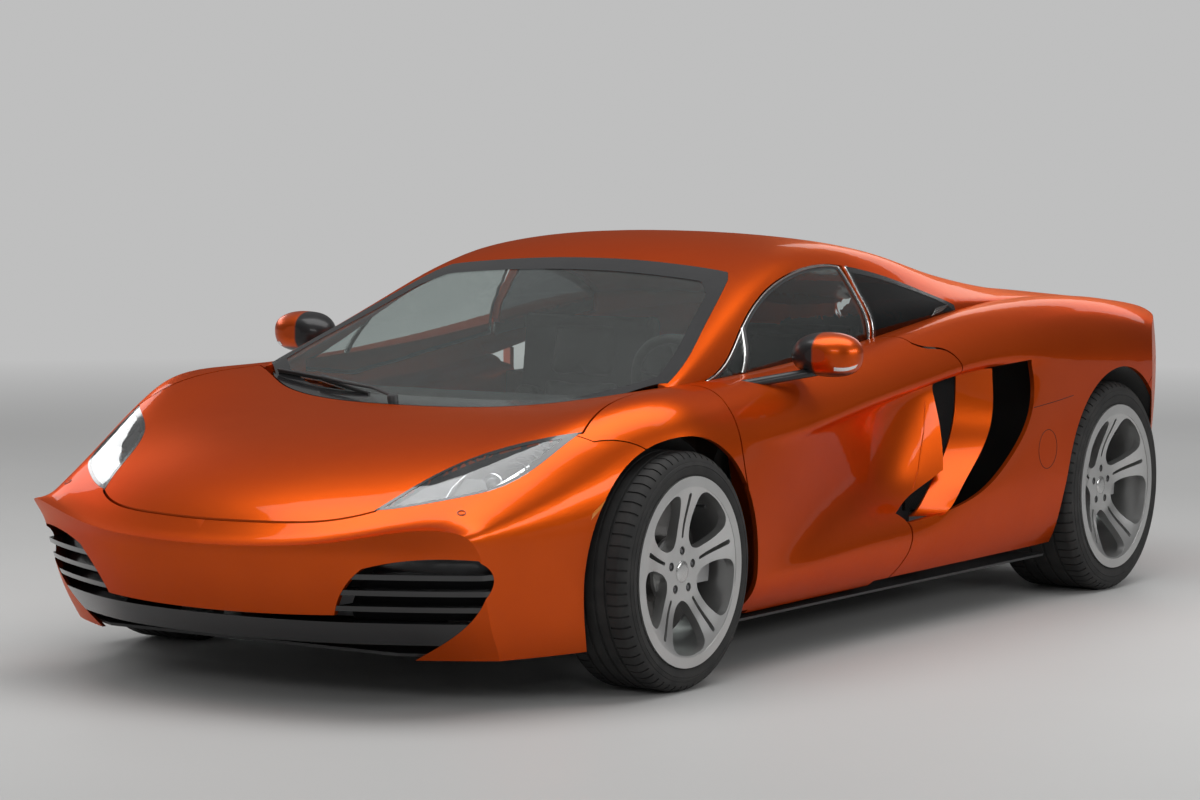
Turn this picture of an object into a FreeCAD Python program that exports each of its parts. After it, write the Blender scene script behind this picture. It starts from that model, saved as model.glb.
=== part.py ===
"""Mid-engined two-seat sports car: a body of real panels round a hollow cabin, with doors that swing up.

Frame: +Z up, nose towards -Y, the car's left side towards +X, origin on the ground under the middle
of the body. Lengths are millimetres.
"""
import FreeCAD, Part
import os
import Sketcher
from FreeCAD import Placement, Rotation, Vector

doc = FreeCAD.newDocument("sports_car")
sheet = doc.addObject("Spreadsheet::Sheet", "Sizes")

DRIVING_SIZES = {
    "body_length": 4509, "body_width": 1909, "body_height": 1199, "overrun": 40,
    "wheelbase": 2670, "front_overhang": 950, "front_track": 1656, "rear_track": 1583,
    "front_arch_radius": 364, "rear_arch_radius": 398, "liner_wall": 5,
    "skin_wall": 14, "door_wall": 95, "door_step": 70, "roof_wall": 26, "glass_wall": 6, "lamp_depth": 60,
    "panel_gap": 6, "seat_gap": 0.4, "fixed_gap": 3, "skirt_drop": 45, "roof_skirt": 60,
    "front_tyre_radius": 323.5, "front_tyre_width": 232, "front_rim_radius": 258, "front_bead_radius": 242,
    "upright_swing": 70,
    "rear_tyre_radius": 345.5, "rear_tyre_width": 298, "rear_rim_radius": 271, "rear_bead_radius": 254,
    "shoulder_radius": 24, "tyre_belt_wall": 22, "sidewall_bulge": 7,
    "rim_wall": 7, "front_hub_recess": 30, "rear_hub_recess": 60, "hub_radius": 76, "hub_face_wall": 34,
    "spoke_depth": 34, "rim_lip": 12, "spoke_slot_width": 9, "spoke_slot_end_width": 14,
    "nut_circle_radius": 56, "nut_hole_radius": 12, "nut_hole_depth": 14,
    "front_disc_radius": 185, "rear_disc_radius": 175, "disc_wall": 32, "bell_radius": 92, "bell_depth": 40,
    "caliper_gap": 6, "caliper_width": 34, "caliper_height": 96, "caliper_wall": 26,
    "upright_wall": 40, "upright_width": 120, "upright_height": 250, "arm_radius": 12, "arm_spread": 300,
    "pivot_inset": 20, "ball_radius": 13.5, "bush_radius": 24, "bush_length": 60,
    "floor_height": 150, "floor_wall": 40, "sill_height": 420, "tub_wall": 50, "tub_half_width": 690,
    "cavity_half_width": 610, "bulkhead_wall": 60,
    "tray_height": 122, "tray_wall": 8, "beam_size": 70, "beam_spacing": 720,
    "luggage_wall": 12, "luggage_floor": 230,
    "engine_length": 620, "engine_width": 640, "engine_height": 520, "engine_base": 165,
    "gearbox_length": 480, "gearbox_width": 380, "gearbox_height": 340,
    "exhaust_radius": 46, "exhaust_wall": 3, "exhaust_length": 240, "exhaust_spacing": 230, "exhaust_height": 700,
    "steering_wheel_radius": 183, "steering_rim_radius": 15, "steering_hub_radius": 62, "steering_hub_wall": 40,
    "steering_x": 370, "steering_height": 735, "column_radius": 30, "column_length": 260,
    "seat_spacing": 730, "seat_width": 489.4, "cushion_length": 500, "cushion_height": 130, "seat_base": 205,
    "backrest_wall": 120, "backrest_height": 640, "seat_round": 45,
    "vane_wall": 14, "vane_depth": 70, "mesh_wall": 10, "splitter_depth": 130,
    "mirror_height": 126, "mirror_depth": 120, "mirror_span": 215, "mirror_top": 936, "mirror_stalk": 26,
    "width_over_mirrors": 2093,
    "wheelhouse_inner": 520, "front_liner_outer": 822, "rear_liner_outer": 925, "frame_overlap": 60, "tub_front": 1232, "tub_rear": 2640,
    "luggage_length": 480, "luggage_height": 330, "tail_lamp_band": 28, "column_lean_degrees": 68,
    "steering_wheel_place": 1826, "blade_wall": 20, "duct_x": 690, "mirror_place": 1665,
    "jack_pad_radius": 30, "jack_pad_height": 12, "jack_pad_x": 700,
    "plate_hole_radius": 3, "plate_hole_spacing": 300, "plate_hole_height": 470,
    "plate_room_width": 540, "plate_room_height": 130, "plate_room_back": 78, "plate_pan_wall": 6,
}
row = 0
for alias, number in DRIVING_SIZES.items():
    row += 1
    sheet.set("A%d" % row, alias)
    sheet.set("B%d" % row, str(number))
    sheet.setAlias("B%d" % row, alias)
doc.recompute()


def mm(alias):
    """The value of one named size."""
    return float(sheet.get(alias))


LENGTH = mm("body_length")
HALF_WIDTH = mm("body_width") / 2
HEIGHT = mm("body_height")


def along(table, share):
    """The value at a share of the body's length on a smooth curve through (share, value) pairs."""
    if share <= table[0][0]:
        return table[0][1]
    if share >= table[-1][0]:
        return table[-1][1]
    slopes = []
    for k in range(len(table) - 1):
        slopes.append((table[k + 1][1] - table[k][1]) / (table[k + 1][0] - table[k][0]))
    tangents = [slopes[0]]
    for k in range(1, len(slopes)):
        a, b = slopes[k - 1], slopes[k]
        tangents.append(0 if a * b <= 0 else 2 * a * b / (a + b))
    tangents.append(slopes[-1])
    for k in range(len(table) - 1):
        (s0, v0), (s1, v1) = table[k], table[k + 1]
        if share <= s1:
            width = s1 - s0
            t = (share - s0) / width
            return (v0 * (1 + 2 * t) * (1 - t) ** 2 + v1 * t * t * (3 - 2 * t)
                    + width * tangents[k] * t * (1 - t) ** 2 + width * tangents[k + 1] * t * t * (t - 1))


# How far the nose line lies behind its foremost point, as a share of length at shares of half-width.
NOSE_SWEEP_SHARES = [(0, 0), (.26, .004), (.48, .019), (.63, .037), (.75, .053), (.84, .069),
                     (.92, .095), (1.0, .135), (1.1, .20)]
NOSE_LEAN_SHARES = [(-.1, .060), (.11, .030), (.145, .022), (.20, .0133), (.25, .008), (.30, .002), (.342, 0),
                    (.40, -.012), (.6, -.06), (1.2, -.12)]
TAIL_SWEEP_SHARES = [(0, 0), (.3, .002), (.6, .012), (.75, .034), (.84, .060), (.90, .090),
                     (.96, .125), (1.1, .20)]
TAIL_LEAN_SHARES = [(-.1, .06), (.15, .035), (.30, .016), (.45, .004), (.6, 0), (.70, .004), (.77, .010), (1.2, .06)]
END_X_SHARES = [-1.1, -.95, -.85, -.75, -.6, -.4, -.2, 0, .2, .4, .6, .75, .85, .95, 1.1]
END_Z_SHARES = [-.1, .05, .12, .17, .22, .27, .31, .335, .36, .42, .52, .62, .70, .78, .9, 1.2]
SWEEP_FADE_SHARES = [(-.03, 1), (.03, .97), (.10, .72), (.16, .38), (.22, .1), (.27, 0)]

# The lines that run along the lower body, from its bottom edge over the shoulder to the middle.
# Each has its share of half-width and its share of height at shares of the body's length.
BODY_LINES = {
    "bottom": (
        [(0, .66), (.05, .80), (.10, .875), (.2, .90), (.3, .905), (.5, .90), (.8, .90), (.9, .87), (1, .82)],
        [(0, .110), (.1, .113), (.3, .135), (.5, .140), (.7, .145), (.9, .165), (1, .185)]),
    "sill": (
        [(0, .69), (.05, .83), (.10, .91), (.2, .945), (.3, .945), (.5, .945), (.8, .945), (.9, .91), (1, .85)],
        [(0, .145), (.1, .150), (.3, .160), (.5, .170), (.7, .180), (.9, .205), (1, .225)]),
    "fin": (
        [(0, .73), (.05, .86), (.10, .94), (.15, .98), (.2, .985), (.3, .978), (.38, .985), (.52, .985),
         (.7, .99), (.8, .995), (.9, .96), (1, .88)],
        [(0, .21), (.2, .205), (.30, .200), (.38, .239), (.474, .285), (.52, .297), (.6, .31), (.8, .31), (1, .31)]),
    "floor_low": (
        [(0, .75), (.05, .87), (.10, .945), (.15, .985), (.2, .99), (.28, .98), (.34, .965), (.40, .930),
         (.45, .890), (.49, .852), (.515, .86), (.55, .95), (.58, .985), (.7, .995), (.8, 1), (.9, .965), (1, .885)],
        [(0, .26), (.2, .26), (.30, .245), (.38, .280), (.474, .325), (.52, .335), (.6, .36), (.8, .37), (1, .37)]),
    "floor_mid": (
        [(0, .77), (.05, .88), (.10, .95), (.15, .99), (.2, .995), (.28, .985), (.34, .955), (.40, .910),
         (.45, .868), (.50, .825), (.53, .83), (.57, .91), (.61, .975), (.66, .995), (.8, 1), (.9, .97), (1, .89)],
        [(0, .34), (.2, .36), (.3, .365), (.4, .405), (.5, .445), (.6, .47), (.8, .46), (1, .44)]),
    "floor_high": (
        [(0, .77), (.05, .875), (.10, .945), (.15, .985), (.2, .99), (.28, .98), (.34, .965), (.40, .922),
         (.45, .870), (.50, .820), (.55, .82), (.60, .90), (.64, .97), (.68, .99), (.8, 1), (.9, .97), (1, .885)],
        [(0, .38), (.1, .44), (.2, .50), (.3, .505), (.349, .515), (.43, .545), (.51, .575), (.574, .607),
         (.664, .630), (.8, .60), (1, .52)]),
    "ledge_in": (
        [(0, .765), (.05, .87), (.10, .94), (.15, .98), (.2, .985), (.28, .976), (.34, .970), (.40, .932),
         (.45, .885), (.50, .838), (.55, .835), (.60, .90), (.64, .97), (.68, .99), (.8, 1), (.9, .968), (1, .88)],
        [(0, .39), (.1, .47), (.2, .535), (.3, .530), (.349, .539), (.43, .569), (.5085, .597), (.574, .630),
         (.664, .656), (.8, .64), (1, .56)]),
    "ledge_out": (
        [(0, .76), (.05, .86), (.10, .93), (.15, .972), (.2, .98), (.3, .975), (.35, .980), (.43, .982),
         (.51, .980), (.574, .98), (.664, .988), (.75, .995), (.8, .995), (.9, .965), (1, .87)],
        [(0, .395), (.1, .50), (.2, .565), (.30, .550), (.349, .553), (.43, .584), (.5085, .612), (.574, .645),
         (.664, .672), (.8, .675), (1, .60)]),
    "upper_side": (
        [(0, .75), (.05, .84), (.10, .905), (.15, .95), (.2, .962), (.3, .955), (.4, .958), (.5, .957), (.6, .960),
         (.7, .975), (.8, .98), (.9, .945), (1, .85)],
        [(0, .40), (.05, .475), (.1, .535), (.15, .585), (.2, .615), (.3, .60), (.4, .625), (.5, .665), (.6, .705),
         (.7, .735), (.8, .735), (.9, .70), (1, .64)]),
    "shoulder": (
        [(0, .70), (.05, .78), (.1, .845), (.15, .885), (.2, .90), (.27, .89), (.35, .885), (.45, .885), (.55, .890),
         (.65, .905), (.75, .92), (.85, .91), (.92, .88), (1, .80)],
        [(0, .41), (.05, .502), (.1, .577), (.15, .627), (.2, .658), (.27, .655), (.35, .668), (.45, .702), (.55, .745),
         (.65, .788), (.75, .803), (.85, .780), (.92, .735), (1, .67)]),
    "crest": (
        [(0, .60), (.05, .67), (.1, .73), (.15, .785), (.2, .81), (.27, .80), (.35, .79), (.45, .79), (.55, .80),
         (.65, .80), (.75, .80), (.85, .78), (.95, .74), (1, .70)],
        [(0, .40), (.05, .503), (.1, .588), (.15, .640), (.2, .671), (.25, .676), (.3, .68), (.35, .690), (.45, .720),
         (.55, .765), (.65, .808), (.75, .822), (.82, .815), (.9, .79), (.95, .775), (1, .75)]),
    "valley": (
        [(0, .42), (.05, .48), (.1, .55), (.2, .62), (.27, .62), (.4, .58), (.6, .6), (1, .5)],
        [(0, .365), (.012, .41), (.025, .445), (.05, .490), (.1, .555), (.15, .602), (.2, .630), (.25, .645), (.3, .65),
         (.4, .66), (.6, .74), (.7, .785), (.8, .80), (.9, .79), (1, .765)]),
    "hood": (
        [(0, .22), (.1, .28), (.3, .32), (1, .25)],
        [(0, .350), (.012, .405), (.025, .442), (.05, .492), (.1, .552), (.16, .592), (.2333, .622), (.3, .635),
         (.4, .65), (.6, .74), (.7, .785), (.8, .80), (.9, .79), (1, .765)]),
    "middle": (
        [(0, 0), (1, 0)],
        [(0, .345), (.012, .403), (.025, .442), (.05, .494), (.1, .555), (.16, .596), (.2333, .625), (.3, .635),
         (.4, .65), (.6, .74), (.7, .785), (.8, .80), (.9, .79), (1, .765)]),
}
BODY_STATION_SHARES = [-.07, -.02, 0, .012, .03, .055, .09, .13, .17, .21, .25, .29, .33, .37, .41, .45, .49,
                       .52, .55, .585, .62, .66, .70, .75, .80, .85, .90, .94, .975, 1.0, 1.03, 1.07]

# The same for the cabin's glasshouse, from a base buried in the body up to the roof's middle.
CABIN_LINES = {
    "base": ([(.2, .70), (.3, .70), (.6, .66), (.8, .66), (1, .6)],
             [(.2, .48), (.3, .50), (.6, .55), (1, .60)]),
    "belt": ([(.2, .76), (.25, .775), (.32, .775), (.45, .775), (.6, .775), (.68, .75), (.8, .70), (1, .62)],
             [(.2, .55), (.25, .62), (.32, .655), (.45, .700), (.535, .738), (.6, .768), (.68, .800), (.8, .80), (1, .76)]),
    "glass": ([(.2, .74), (.25, .765), (.28, .755), (.32, .735), (.36, .715), (.41, .70), (.5, .69), (.6, .69),
               (.68, .68), (.8, .62), (1, .55)],
              [(.2, .56), (.25, .635), (.28, .675), (.32, .715), (.36, .76), (.41, .80), (.466, .825), (.52, .838),
               (.6, .835), (.68, .82), (.8, .81), (1, .765)]),
    "rail_low": ([(.2, .72), (.25, .755), (.28, .735), (.32, .70), (.36, .665), (.41, .64), (.466, .628), (.52, .622),
                  (.6, .62), (.68, .60), (.8, .55), (1, .5)],
                 [(.2, .565), (.25, .645), (.28, .692), (.32, .752), (.36, .815), (.41, .885), (.466, .930), (.52, .940),
                  (.6, .91), (.68, .855), (.8, .818), (1, .768)]),
    "rail_top": ([(.2, .66), (.25, .70), (.28, .68), (.32, .645), (.36, .605), (.41, .57), (.466, .55), (.52, .54),
                  (.6, .53), (.68, .51), (.8, .48), (1, .45)],
                 [(.2, .57), (.25, .655), (.28, .702), (.32, .765), (.36, .832), (.41, .912), (.466, .962), (.52, .973),
                  (.6, .950), (.68, .892), (.8, .826), (1, .772)]),
    "roof_side": ([(.2, .45), (.28, .46), (.41, .36), (.52, .34), (.7, .34), (1, .3)],
                  [(.2, .572), (.2333, .618), (.28, .695), (.31, .746), (.34, .797), (.37, .849), (.40, .902), (.43, .946), (.46, .976),
                   (.50, .992), (.55, .985), (.60, .960), (.65, .920), (.70, .880), (.75, .852), (.80, .832), (.9, .808), (1, .775)]),
    "roof_mid": ([(.2, .22), (.28, .22), (.41, .17), (.52, .16), (1, .15)],
                 [(.2, .573), (.2333, .622), (.28, .700), (.31, .751), (.34, .803), (.37, .856), (.40, .910), (.43, .955), (.46, .985),
                  (.50, .9995), (.55, .992), (.60, .966), (.65, .924), (.70, .882), (.75, .853), (.80, .834), (.9, .81), (1, .776)]),
    "roof_line": ([(.2, 0), (1, 0)],
                  [(.2, .573), (.2333, .623), (.28, .702), (.31, .753), (.34, .805), (.37, .858), (.40, .912), (.43, .957), (.46, .987),
                   (.50, 1.001), (.55, .994), (.60, .967), (.65, .925), (.70, .882), (.75, .853), (.80, .834), (.9, .81), (1, .776)]),
}
CABIN_STATION_SHARES = [.20, .225, .25, .275, .30, .325, .35, .375, .40, .425, .45, .475, .50, .53, .56, .60,
                        .64, .68, .72, .76, .80, .85, .90, .95, .98]


def place(x_share, y_share, z_share):
    """A point of the car from shares of half-width, length and height."""
    return Vector(x_share * HALF_WIDTH, (y_share - .5) * LENGTH, z_share * HEIGHT)


def net(lines, stations, bowed):
    """Poles of a skin, a row for each station from the right bottom edge over to the left one."""
    rows = []
    for s in stations:
        half = []
        for widths, heights in lines.values():
            x, z = along(widths, s), along(heights, s)
            sweep = 0
            if bowed and s > stations[0]:
                sweep = along(NOSE_SWEEP_SHARES, x) * along(SWEEP_FADE_SHARES, s)
            half.append(place(x, s + sweep, z))
        mirrored = [Vector(-p.x, p.y, p.z) for p in half[:-1]]
        rows.append(mirrored + half[::-1])
    return rows


def inset(rows, wall):
    """The same net moved inwards by a wall's thickness, square to the skin."""
    moved = []
    last_row, last_col = len(rows) - 1, len(rows[0]) - 1
    for i in range(last_row + 1):
        line = []
        for j in range(last_col + 1):
            ahead = rows[min(i + 1, last_row)][j] - rows[max(i - 1, 0)][j]
            across = rows[i][min(j + 1, last_col)] - rows[i][max(j - 1, 0)]
            normal = ahead.cross(across)
            normal.normalize()
            if i in (0, last_row):
                normal = Vector(normal.x, 0, normal.z)
            line.append(rows[i][j] + normal * wall)
        moved.append(line)
    return moved


def clamped(count, degree=3):
    """Knots and multiplicities of an open uniform spline with that many poles."""
    knots = list(range(count - degree + 1))
    return knots, [degree + 1] + [1] * (len(knots) - 2) + [degree + 1]


def skin_face(rows):
    """A smooth face drawn by a net of poles."""
    surface = Part.BSplineSurface()
    uk, um = clamped(len(rows))
    vk, vm = clamped(len(rows[0]))
    surface.buildFromPolesMultsKnots(rows, um, vm, uk, vk, False, False, 3, 3)
    return surface


def hull(rows):
    """The closed solid under a skin, with a flat bottom between its edges and flat ends."""
    surface = skin_face(rows)
    u0, u1, v0, v1 = surface.bounds()
    skin = surface.toShape()
    right = surface.vIso(v0).toShape()
    left = surface.vIso(v1).toShape()
    nose = surface.uIso(u0).toShape()
    tail = surface.uIso(u1).toShape()
    bottom = Part.makeRuledSurface(right, left)
    faces = [skin, bottom]
    for end in (nose, tail):
        points = [end.Vertexes[0].Point, end.Vertexes[-1].Point]
        closing = Part.makeLine(points[1], points[0])
        faces.append(Part.Face(Part.Wire([end, closing])))
    shell = Part.makeShell(faces)
    shell.sewShape()
    solid = Part.makeSolid(shell)
    if solid.Volume < 0:
        solid.reverse()
    return solid


def end_solid(at_nose, back=0):
    """Everything behind the nose face, or ahead of the tail face, with the face moved back by a wall."""
    sweeps, leans = (NOSE_SWEEP_SHARES, NOSE_LEAN_SHARES) if at_nose else (TAIL_SWEEP_SHARES, TAIL_LEAN_SHARES)
    rows = []
    for x in END_X_SHARES:
        line = []
        for z in END_Z_SHARES:
            depth = along(sweeps, abs(x)) + along(leans, z)
            spot = place(x, depth if at_nose else 1 - depth, z)
            spot.y += back if at_nose else -back
            line.append(spot)
        rows.append(line)
    face = skin_face(rows).toShape()
    return face.extrude(Vector(0, (2 if at_nose else -2) * LENGTH, 0))


def body_solid(wall=0):
    """The whole lower body as one solid, moved inwards by a wall."""
    rows = net(BODY_LINES, BODY_STATION_SHARES, True)
    if wall:
        rows = inset(rows, wall)
        for line in rows:
            line[0].z -= mm("skirt_drop")
            line[-1].z -= mm("skirt_drop")
    return hull(rows).common(end_solid(True, wall)).common(end_solid(False, wall))


def cabin_solid(wall=0):
    """The glasshouse as one solid, moved inwards by a wall."""
    rows = net(CABIN_LINES, CABIN_STATION_SHARES, False)
    if wall:
        rows = inset(rows, wall)
        for line in rows:
            line[0].z -= mm("skirt_drop")
            line[-1].z -= mm("skirt_drop")
    return hull(rows)


def plan(x, s):
    """A point of an outline seen from above."""
    return Vector(x * HALF_WIDTH, (s - .5) * LENGTH, 0)


def side(s, z):
    """A point of an outline seen from the side."""
    return Vector(0, (s - .5) * LENGTH, z * HEIGHT)


def front(x, z):
    """A point of an outline seen from the nose."""
    return Vector(x * HALF_WIDTH, 0, z * HEIGHT)


def grown(points, growth):
    """A closed outline moved outwards by a gap."""
    count = len(points)
    area = Vector(0, 0, 0)
    for k in range(count):
        area += (points[k] - points[0]).cross(points[(k + 1) % count] - points[0])
    area.normalize()
    moved = []
    for k in range(count):
        before = points[k] - points[k - 1]
        after = points[(k + 1) % count] - points[k]
        n1, n2 = before.cross(area), after.cross(area)
        n1.normalize()
        n2.normalize()
        moved.append(points[k] + (n1 + n2) * (growth / max(1 + n1.dot(n2), .3)))
    return moved


def outline(runs, maker, growth=0):
    """A closed flat wire: a run of one point is straight from the last one, a longer run is a curve."""
    points, lengths = [], []
    for run in runs:
        points += [maker(*pair) for pair in run]
        lengths.append(len(run))
    if growth:
        points = grown(points, growth)
    edges, at = [], 0
    for length in lengths:
        stretch = [points[at - 1]] + points[at:at + length]
        at += length
        if length == 1:
            edges.append(Part.makeLine(stretch[0], stretch[1]))
        else:
            curve = Part.BSplineCurve()
            curve.interpolate(stretch)
            edges.append(curve.toShape())
    return Part.Wire(edges)


def prism(runs, maker, start, end, growth=0):
    """The solid that an outline sweeps between two places on the axis that it is seen along."""
    face = Part.Face(outline(runs, maker, growth))
    axis = {plan: Vector(0, 0, 1), side: Vector(1, 0, 0), front: Vector(0, 1, 0)}[maker]
    face.translate(axis * start)
    return face.extrude(axis * (end - start))


def block(low, high):
    """A box between two corners."""
    return Part.makeBox(high.x - low.x, high.y - low.y, high.z - low.z, low)


def mirrored(shape):
    """The same shape on the other side of the car."""
    return shape.mirror(Vector(0, 0, 0), Vector(1, 0, 0))


def both(shape):
    """A shape and its mirror image, as solids of one piece."""
    return Part.makeCompound(shape.Solids + mirrored(shape).Solids)


def tidy(shape):
    """The solids of a shape, without slivers that a cut leaves."""
    largest = max(solid.Volume for solid in shape.Solids)
    return Part.makeCompound([solid for solid in shape.Solids if solid.Volume > largest * SLIVER_SHARE])


SLIVER_SHARE = .02
# The mirror's outline across and up, and its sections: depth behind the middle, and size.
MIRROR_OUTLINE_SHARES = [(.5, .02), (.44, .30), (.24, .47), (-.05, .5), (-.32, .40), (-.47, .16), (-.49, -.12),
                         (-.38, -.36), (-.12, -.48), (.18, -.49), (.42, -.34)]
MIRROR_SECTION_SHARES = [(-.5, .30), (-.46, .52), (-.36, .74), (-.18, .92), (.04, 1.0), (.26, .985)]
pieces = {}


def piece(name, shape):
    """A named sub-part of the document with a shape made in code."""
    item = doc.addObject("Part::Feature", name)
    item.Label = name
    solids = shape.Solids
    item.Shape = solids[0] if len(solids) == 1 else Part.makeCompound(solids)
    item.Placement = Placement(Vector(0, 0, 0), Rotation())
    pieces[name] = item
    return item


# Outlines, as shares of half-width, length and height. Each inner list is a straight run or a curve.
BONNET_SHARES = [
    [(.40, .0300), (.20, .0180), (0, .0150), (-.20, .0180), (-.40, .0300), (-.479, .0417)],
    [(-.508, .058), (-.538, .078), (-.574, .097), (-.621, .113), (-.698, .130), (-.802, .152)],
    [(-.778, .182), (-.765, .22), (-.760, .262)],
    [(-.66, .247), (-.50, .222), (-.30, .206), (0, .198), (.30, .206), (.50, .222), (.66, .247), (.760, .262)],
    [(.765, .22), (.778, .182), (.802, .152)],
    [(.698, .130), (.621, .113), (.574, .097), (.538, .078), (.508, .058), (.479, .0417)],
]
LAMP_SHARES = [
    [(.508, .058), (.538, .078), (.574, .097), (.621, .113), (.698, .130), (.802, .152)],
    [(.782, .1252), (.758, .1022), (.719, .0841), (.664, .0708), (.604, .0594), (.54, .0491), (.479, .0417)],
]
INTAKE_SHARES = [
    [(.44, .27), (.50, .318)], [(.62, .338), (.772, .338)],
    [(.785, .30), (.762, .24), (.68, .170), (.58, .12), (.52, .09)],
    [(-.52, .09)], [(-.58, .12), (-.68, .170), (-.762, .24), (-.785, .30), (-.772, .338)],
    [(-.62, .338), (-.50, .318)], [(-.44, .27), (-.40, .212)],
    [(0, .206), (.40, .212)],
]
BUMPER_SHARES = [[(-.2, .05)], [(-.2, .66)], [(.12, .66)], [(.152, .571)],
                 [(.165, .572), (.179, .553), (.188, .50)], [(.2107, .38)], [(.2107, .05)]]
FENDER_SHARES = [[(.05, .66)], [(.152, .571)], [(.165, .572), (.179, .553), (.188, .50)], [(.2107, .33)],
                 [(.31, .33)], [(.31, .9)], [(.05, .9)]]
DOOR_SHARES = [
    [(.2815, .40), (.2755, .47), (.2716, .539), (.2706, .595), (.2737, .643)], [(.276, .72)], [(.276, .80)], [(.522, .80)], [(.522, .725)],
    [(.535, .712), (.553, .701), (.5600, .678), (.5628, .654)], [(.5657, .60), (.5657, .52), (.556, .40)],
    [(.52, .345), (.4895, .309)], [(.496, .284), (.494, .208)], [(.461, .05)], [(.285, .05)], [(.285, .33)],
]
QUARTER_SHARES = [
    [(.522, .98)], [(.522, .725)],
    [(.535, .712), (.553, .701), (.5600, .678), (.5628, .654)], [(.5657, .60), (.5657, .52), (.556, .40)],
    [(.52, .345), (.4895, .309)], [(.496, .284), (.494, .208)], [(.461, .05)], [(.80, .05)],
    [(.80, .30)], [(.8530, .56)], [(.870, .60), (.9, .622)], [(.965, .632)], [(1.02, .640)], [(1.02, .98)],
]
HOLE_SHARES = [
    [(.5167, .613)], [(.574, .640), (.640, .660), (.660, .664)],
    [(.664, .62), (.6631, .553), (.6356, .430), (.5948, .346), (.545, .300), (.50, .285)],
    [(.47, .29)], [(.47, .40)],
]
BLADE_SHARES = [
    [(.574, .66)], [(.5706, .51), (.5363, .379), (.4937, .290)], [(.524, .285)],
    [(.5629, .364), (.5957, .505), (.598, .66)],
]
WINDSCREEN_SHARES = [
    [(.624, .2440), (.507, .2209), (.30, .206), (0, .200), (-.30, .206), (-.507, .2209), (-.624, .2440),
     (-.735, .2676)],
    [(-.70, .3047), (-.644, .3416), (-.599, .3726), (-.555, .400)],
    [(-.525, .4102)], [(-.337, .4146), (0, .4160), (.337, .4146), (.525, .4102)], [(.555, .400)],
    [(.599, .3726), (.644, .3416), (.70, .3047), (.735, .2676)],
]
SIDE_WINDOW_SHARES = [
    [(.3399, .725), (.3694, .791), (.3919, .835), (.4168, .873), (.445, .902), (.4739, .919), (.5076, .923)],
    [(.5569, .898), (.5923, .869), (.625, .834), (.6488, .803)],
    [(.6488, .75)], [(.5173, .60)], [(.3038, .58)], [(.3038, .673)],
]
DOOR_GLASS_SHARES = [
    [(.3399, .725), (.3694, .791), (.3919, .835), (.4168, .873), (.445, .902), (.4739, .919), (.5076, .923)],
    [(.5155, .919)], [(.5195, .85), (.5195, .70)], [(.36, .62)], [(.3038, .64)], [(.3038, .673)],
]
QUARTER_GLASS_SHARES = [
    [(.5569, .898), (.5923, .869), (.625, .834), (.6488, .803)],
    [(.6488, .75)], [(.5235, .70)], [(.5235, .85), (.5195, .917)],
]
PILLAR_SHARES = [[(.5210, .93)], [(.5210, .745)], [(.5235, .735)], [(.5235, .93)]]
ROOF_START_SHARE = .2635
LID_FOOT_SHARE = .738
REAR_WINDOW_SHARES = [
    [(.40, .606)], [(.44, .612), (.46, .625)], [(.44, .715)], [(.42, .727), (.39, .730)], [(-.39, .730)],
    [(-.42, .727), (-.44, .715)], [(-.46, .625)], [(-.44, .612), (-.40, .606)],
]
COVER_SHARES = [
    [(.42, .742)], [(.455, .745), (.465, .76)], [(.50, .875)], [(.49, .893), (.46, .897)],
    [(-.46, .897)], [(-.49, .893), (-.50, .875)], [(-.465, .76)], [(-.455, .745), (-.42, .742)],
]
AIRBRAKE_SHARES = [
    [(.60, .905)], [(.64, .908), (.655, .92)], [(.665, .958)], [(.655, .966), (.63, .970), (0, .980), (-.63, .970),
                                                              (-.655, .966), (-.665, .958)],
    [(-.655, .92)], [(-.64, .908), (-.60, .905)],
]
GRILLE_SHARES = [
    [(.70, .530)], [(.78, .545), (.815, .585)], [(.80, .650), (.76, .690)], [(-.76, .690)],
    [(-.80, .650), (-.815, .585)], [(-.78, .545), (-.70, .530)],
]
DIFFUSER_SHARES = [[(.50, .36)], [(.56, .05)], [(-.56, .05)], [(-.50, .36)]]
TUB_SIDE_SHARES = [[(.285, .11)], [(.275, .40)], [(.283, .60)], [(.56, .60)], [(.585, .40)], [(.585, .11)]]

gap, fixed_gap, seat_gap = mm("panel_gap"), mm("fixed_gap"), mm("seat_gap")
over = mm("overrun")
FRONT_AXLE_Y = mm("front_overhang") - LENGTH / 2
REAR_AXLE_Y = FRONT_AXLE_Y + mm("wheelbase")

body = body_solid()
body_core = body_solid(mm("skin_wall"))
body_shell = body.cut(body_core)
cabin = cabin_solid()
cabin_room = cabin_solid(-gap)
cabin_seat = cabin_solid(-seat_gap)
cabin_shell = cabin.cut(cabin_solid(mm("roof_wall")))
glass_shell = cabin.cut(cabin_solid(mm("glass_wall")))


def arch(radius, y, z, inner=0):
    """The cylinder that a wheel arch is cut with, on the left side."""
    return Part.makeCylinder(radius, HALF_WIDTH * 2 - inner, Vector(inner, y, z), Vector(1, 0, 0))


front_arch = arch(mm("front_arch_radius"), FRONT_AXLE_Y, mm("front_tyre_radius"))
rear_arch = arch(mm("rear_arch_radius"), REAR_AXLE_Y, mm("rear_tyre_radius"))
LEFT_HALF = block(place(0, -.2, -.5), place(1.3, 1.2, 1.5))
left_shell = body_shell.common(LEFT_HALF).cut([front_arch, rear_arch]).cut(cabin)

high = 2 * HEIGHT
bonnet_tool = prism(BONNET_SHARES, plan, .33 * HEIGHT, high)
bonnet_room = prism(BONNET_SHARES, plan, .33 * HEIGHT, high, gap)
lamp_tool = prism(LAMP_SHARES, plan, .36 * HEIGHT, high)
lamp_room = prism(LAMP_SHARES, plan, .36 * HEIGHT, high, seat_gap)
intake = prism(INTAKE_SHARES, front, -LENGTH, -.36 * LENGTH)

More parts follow.
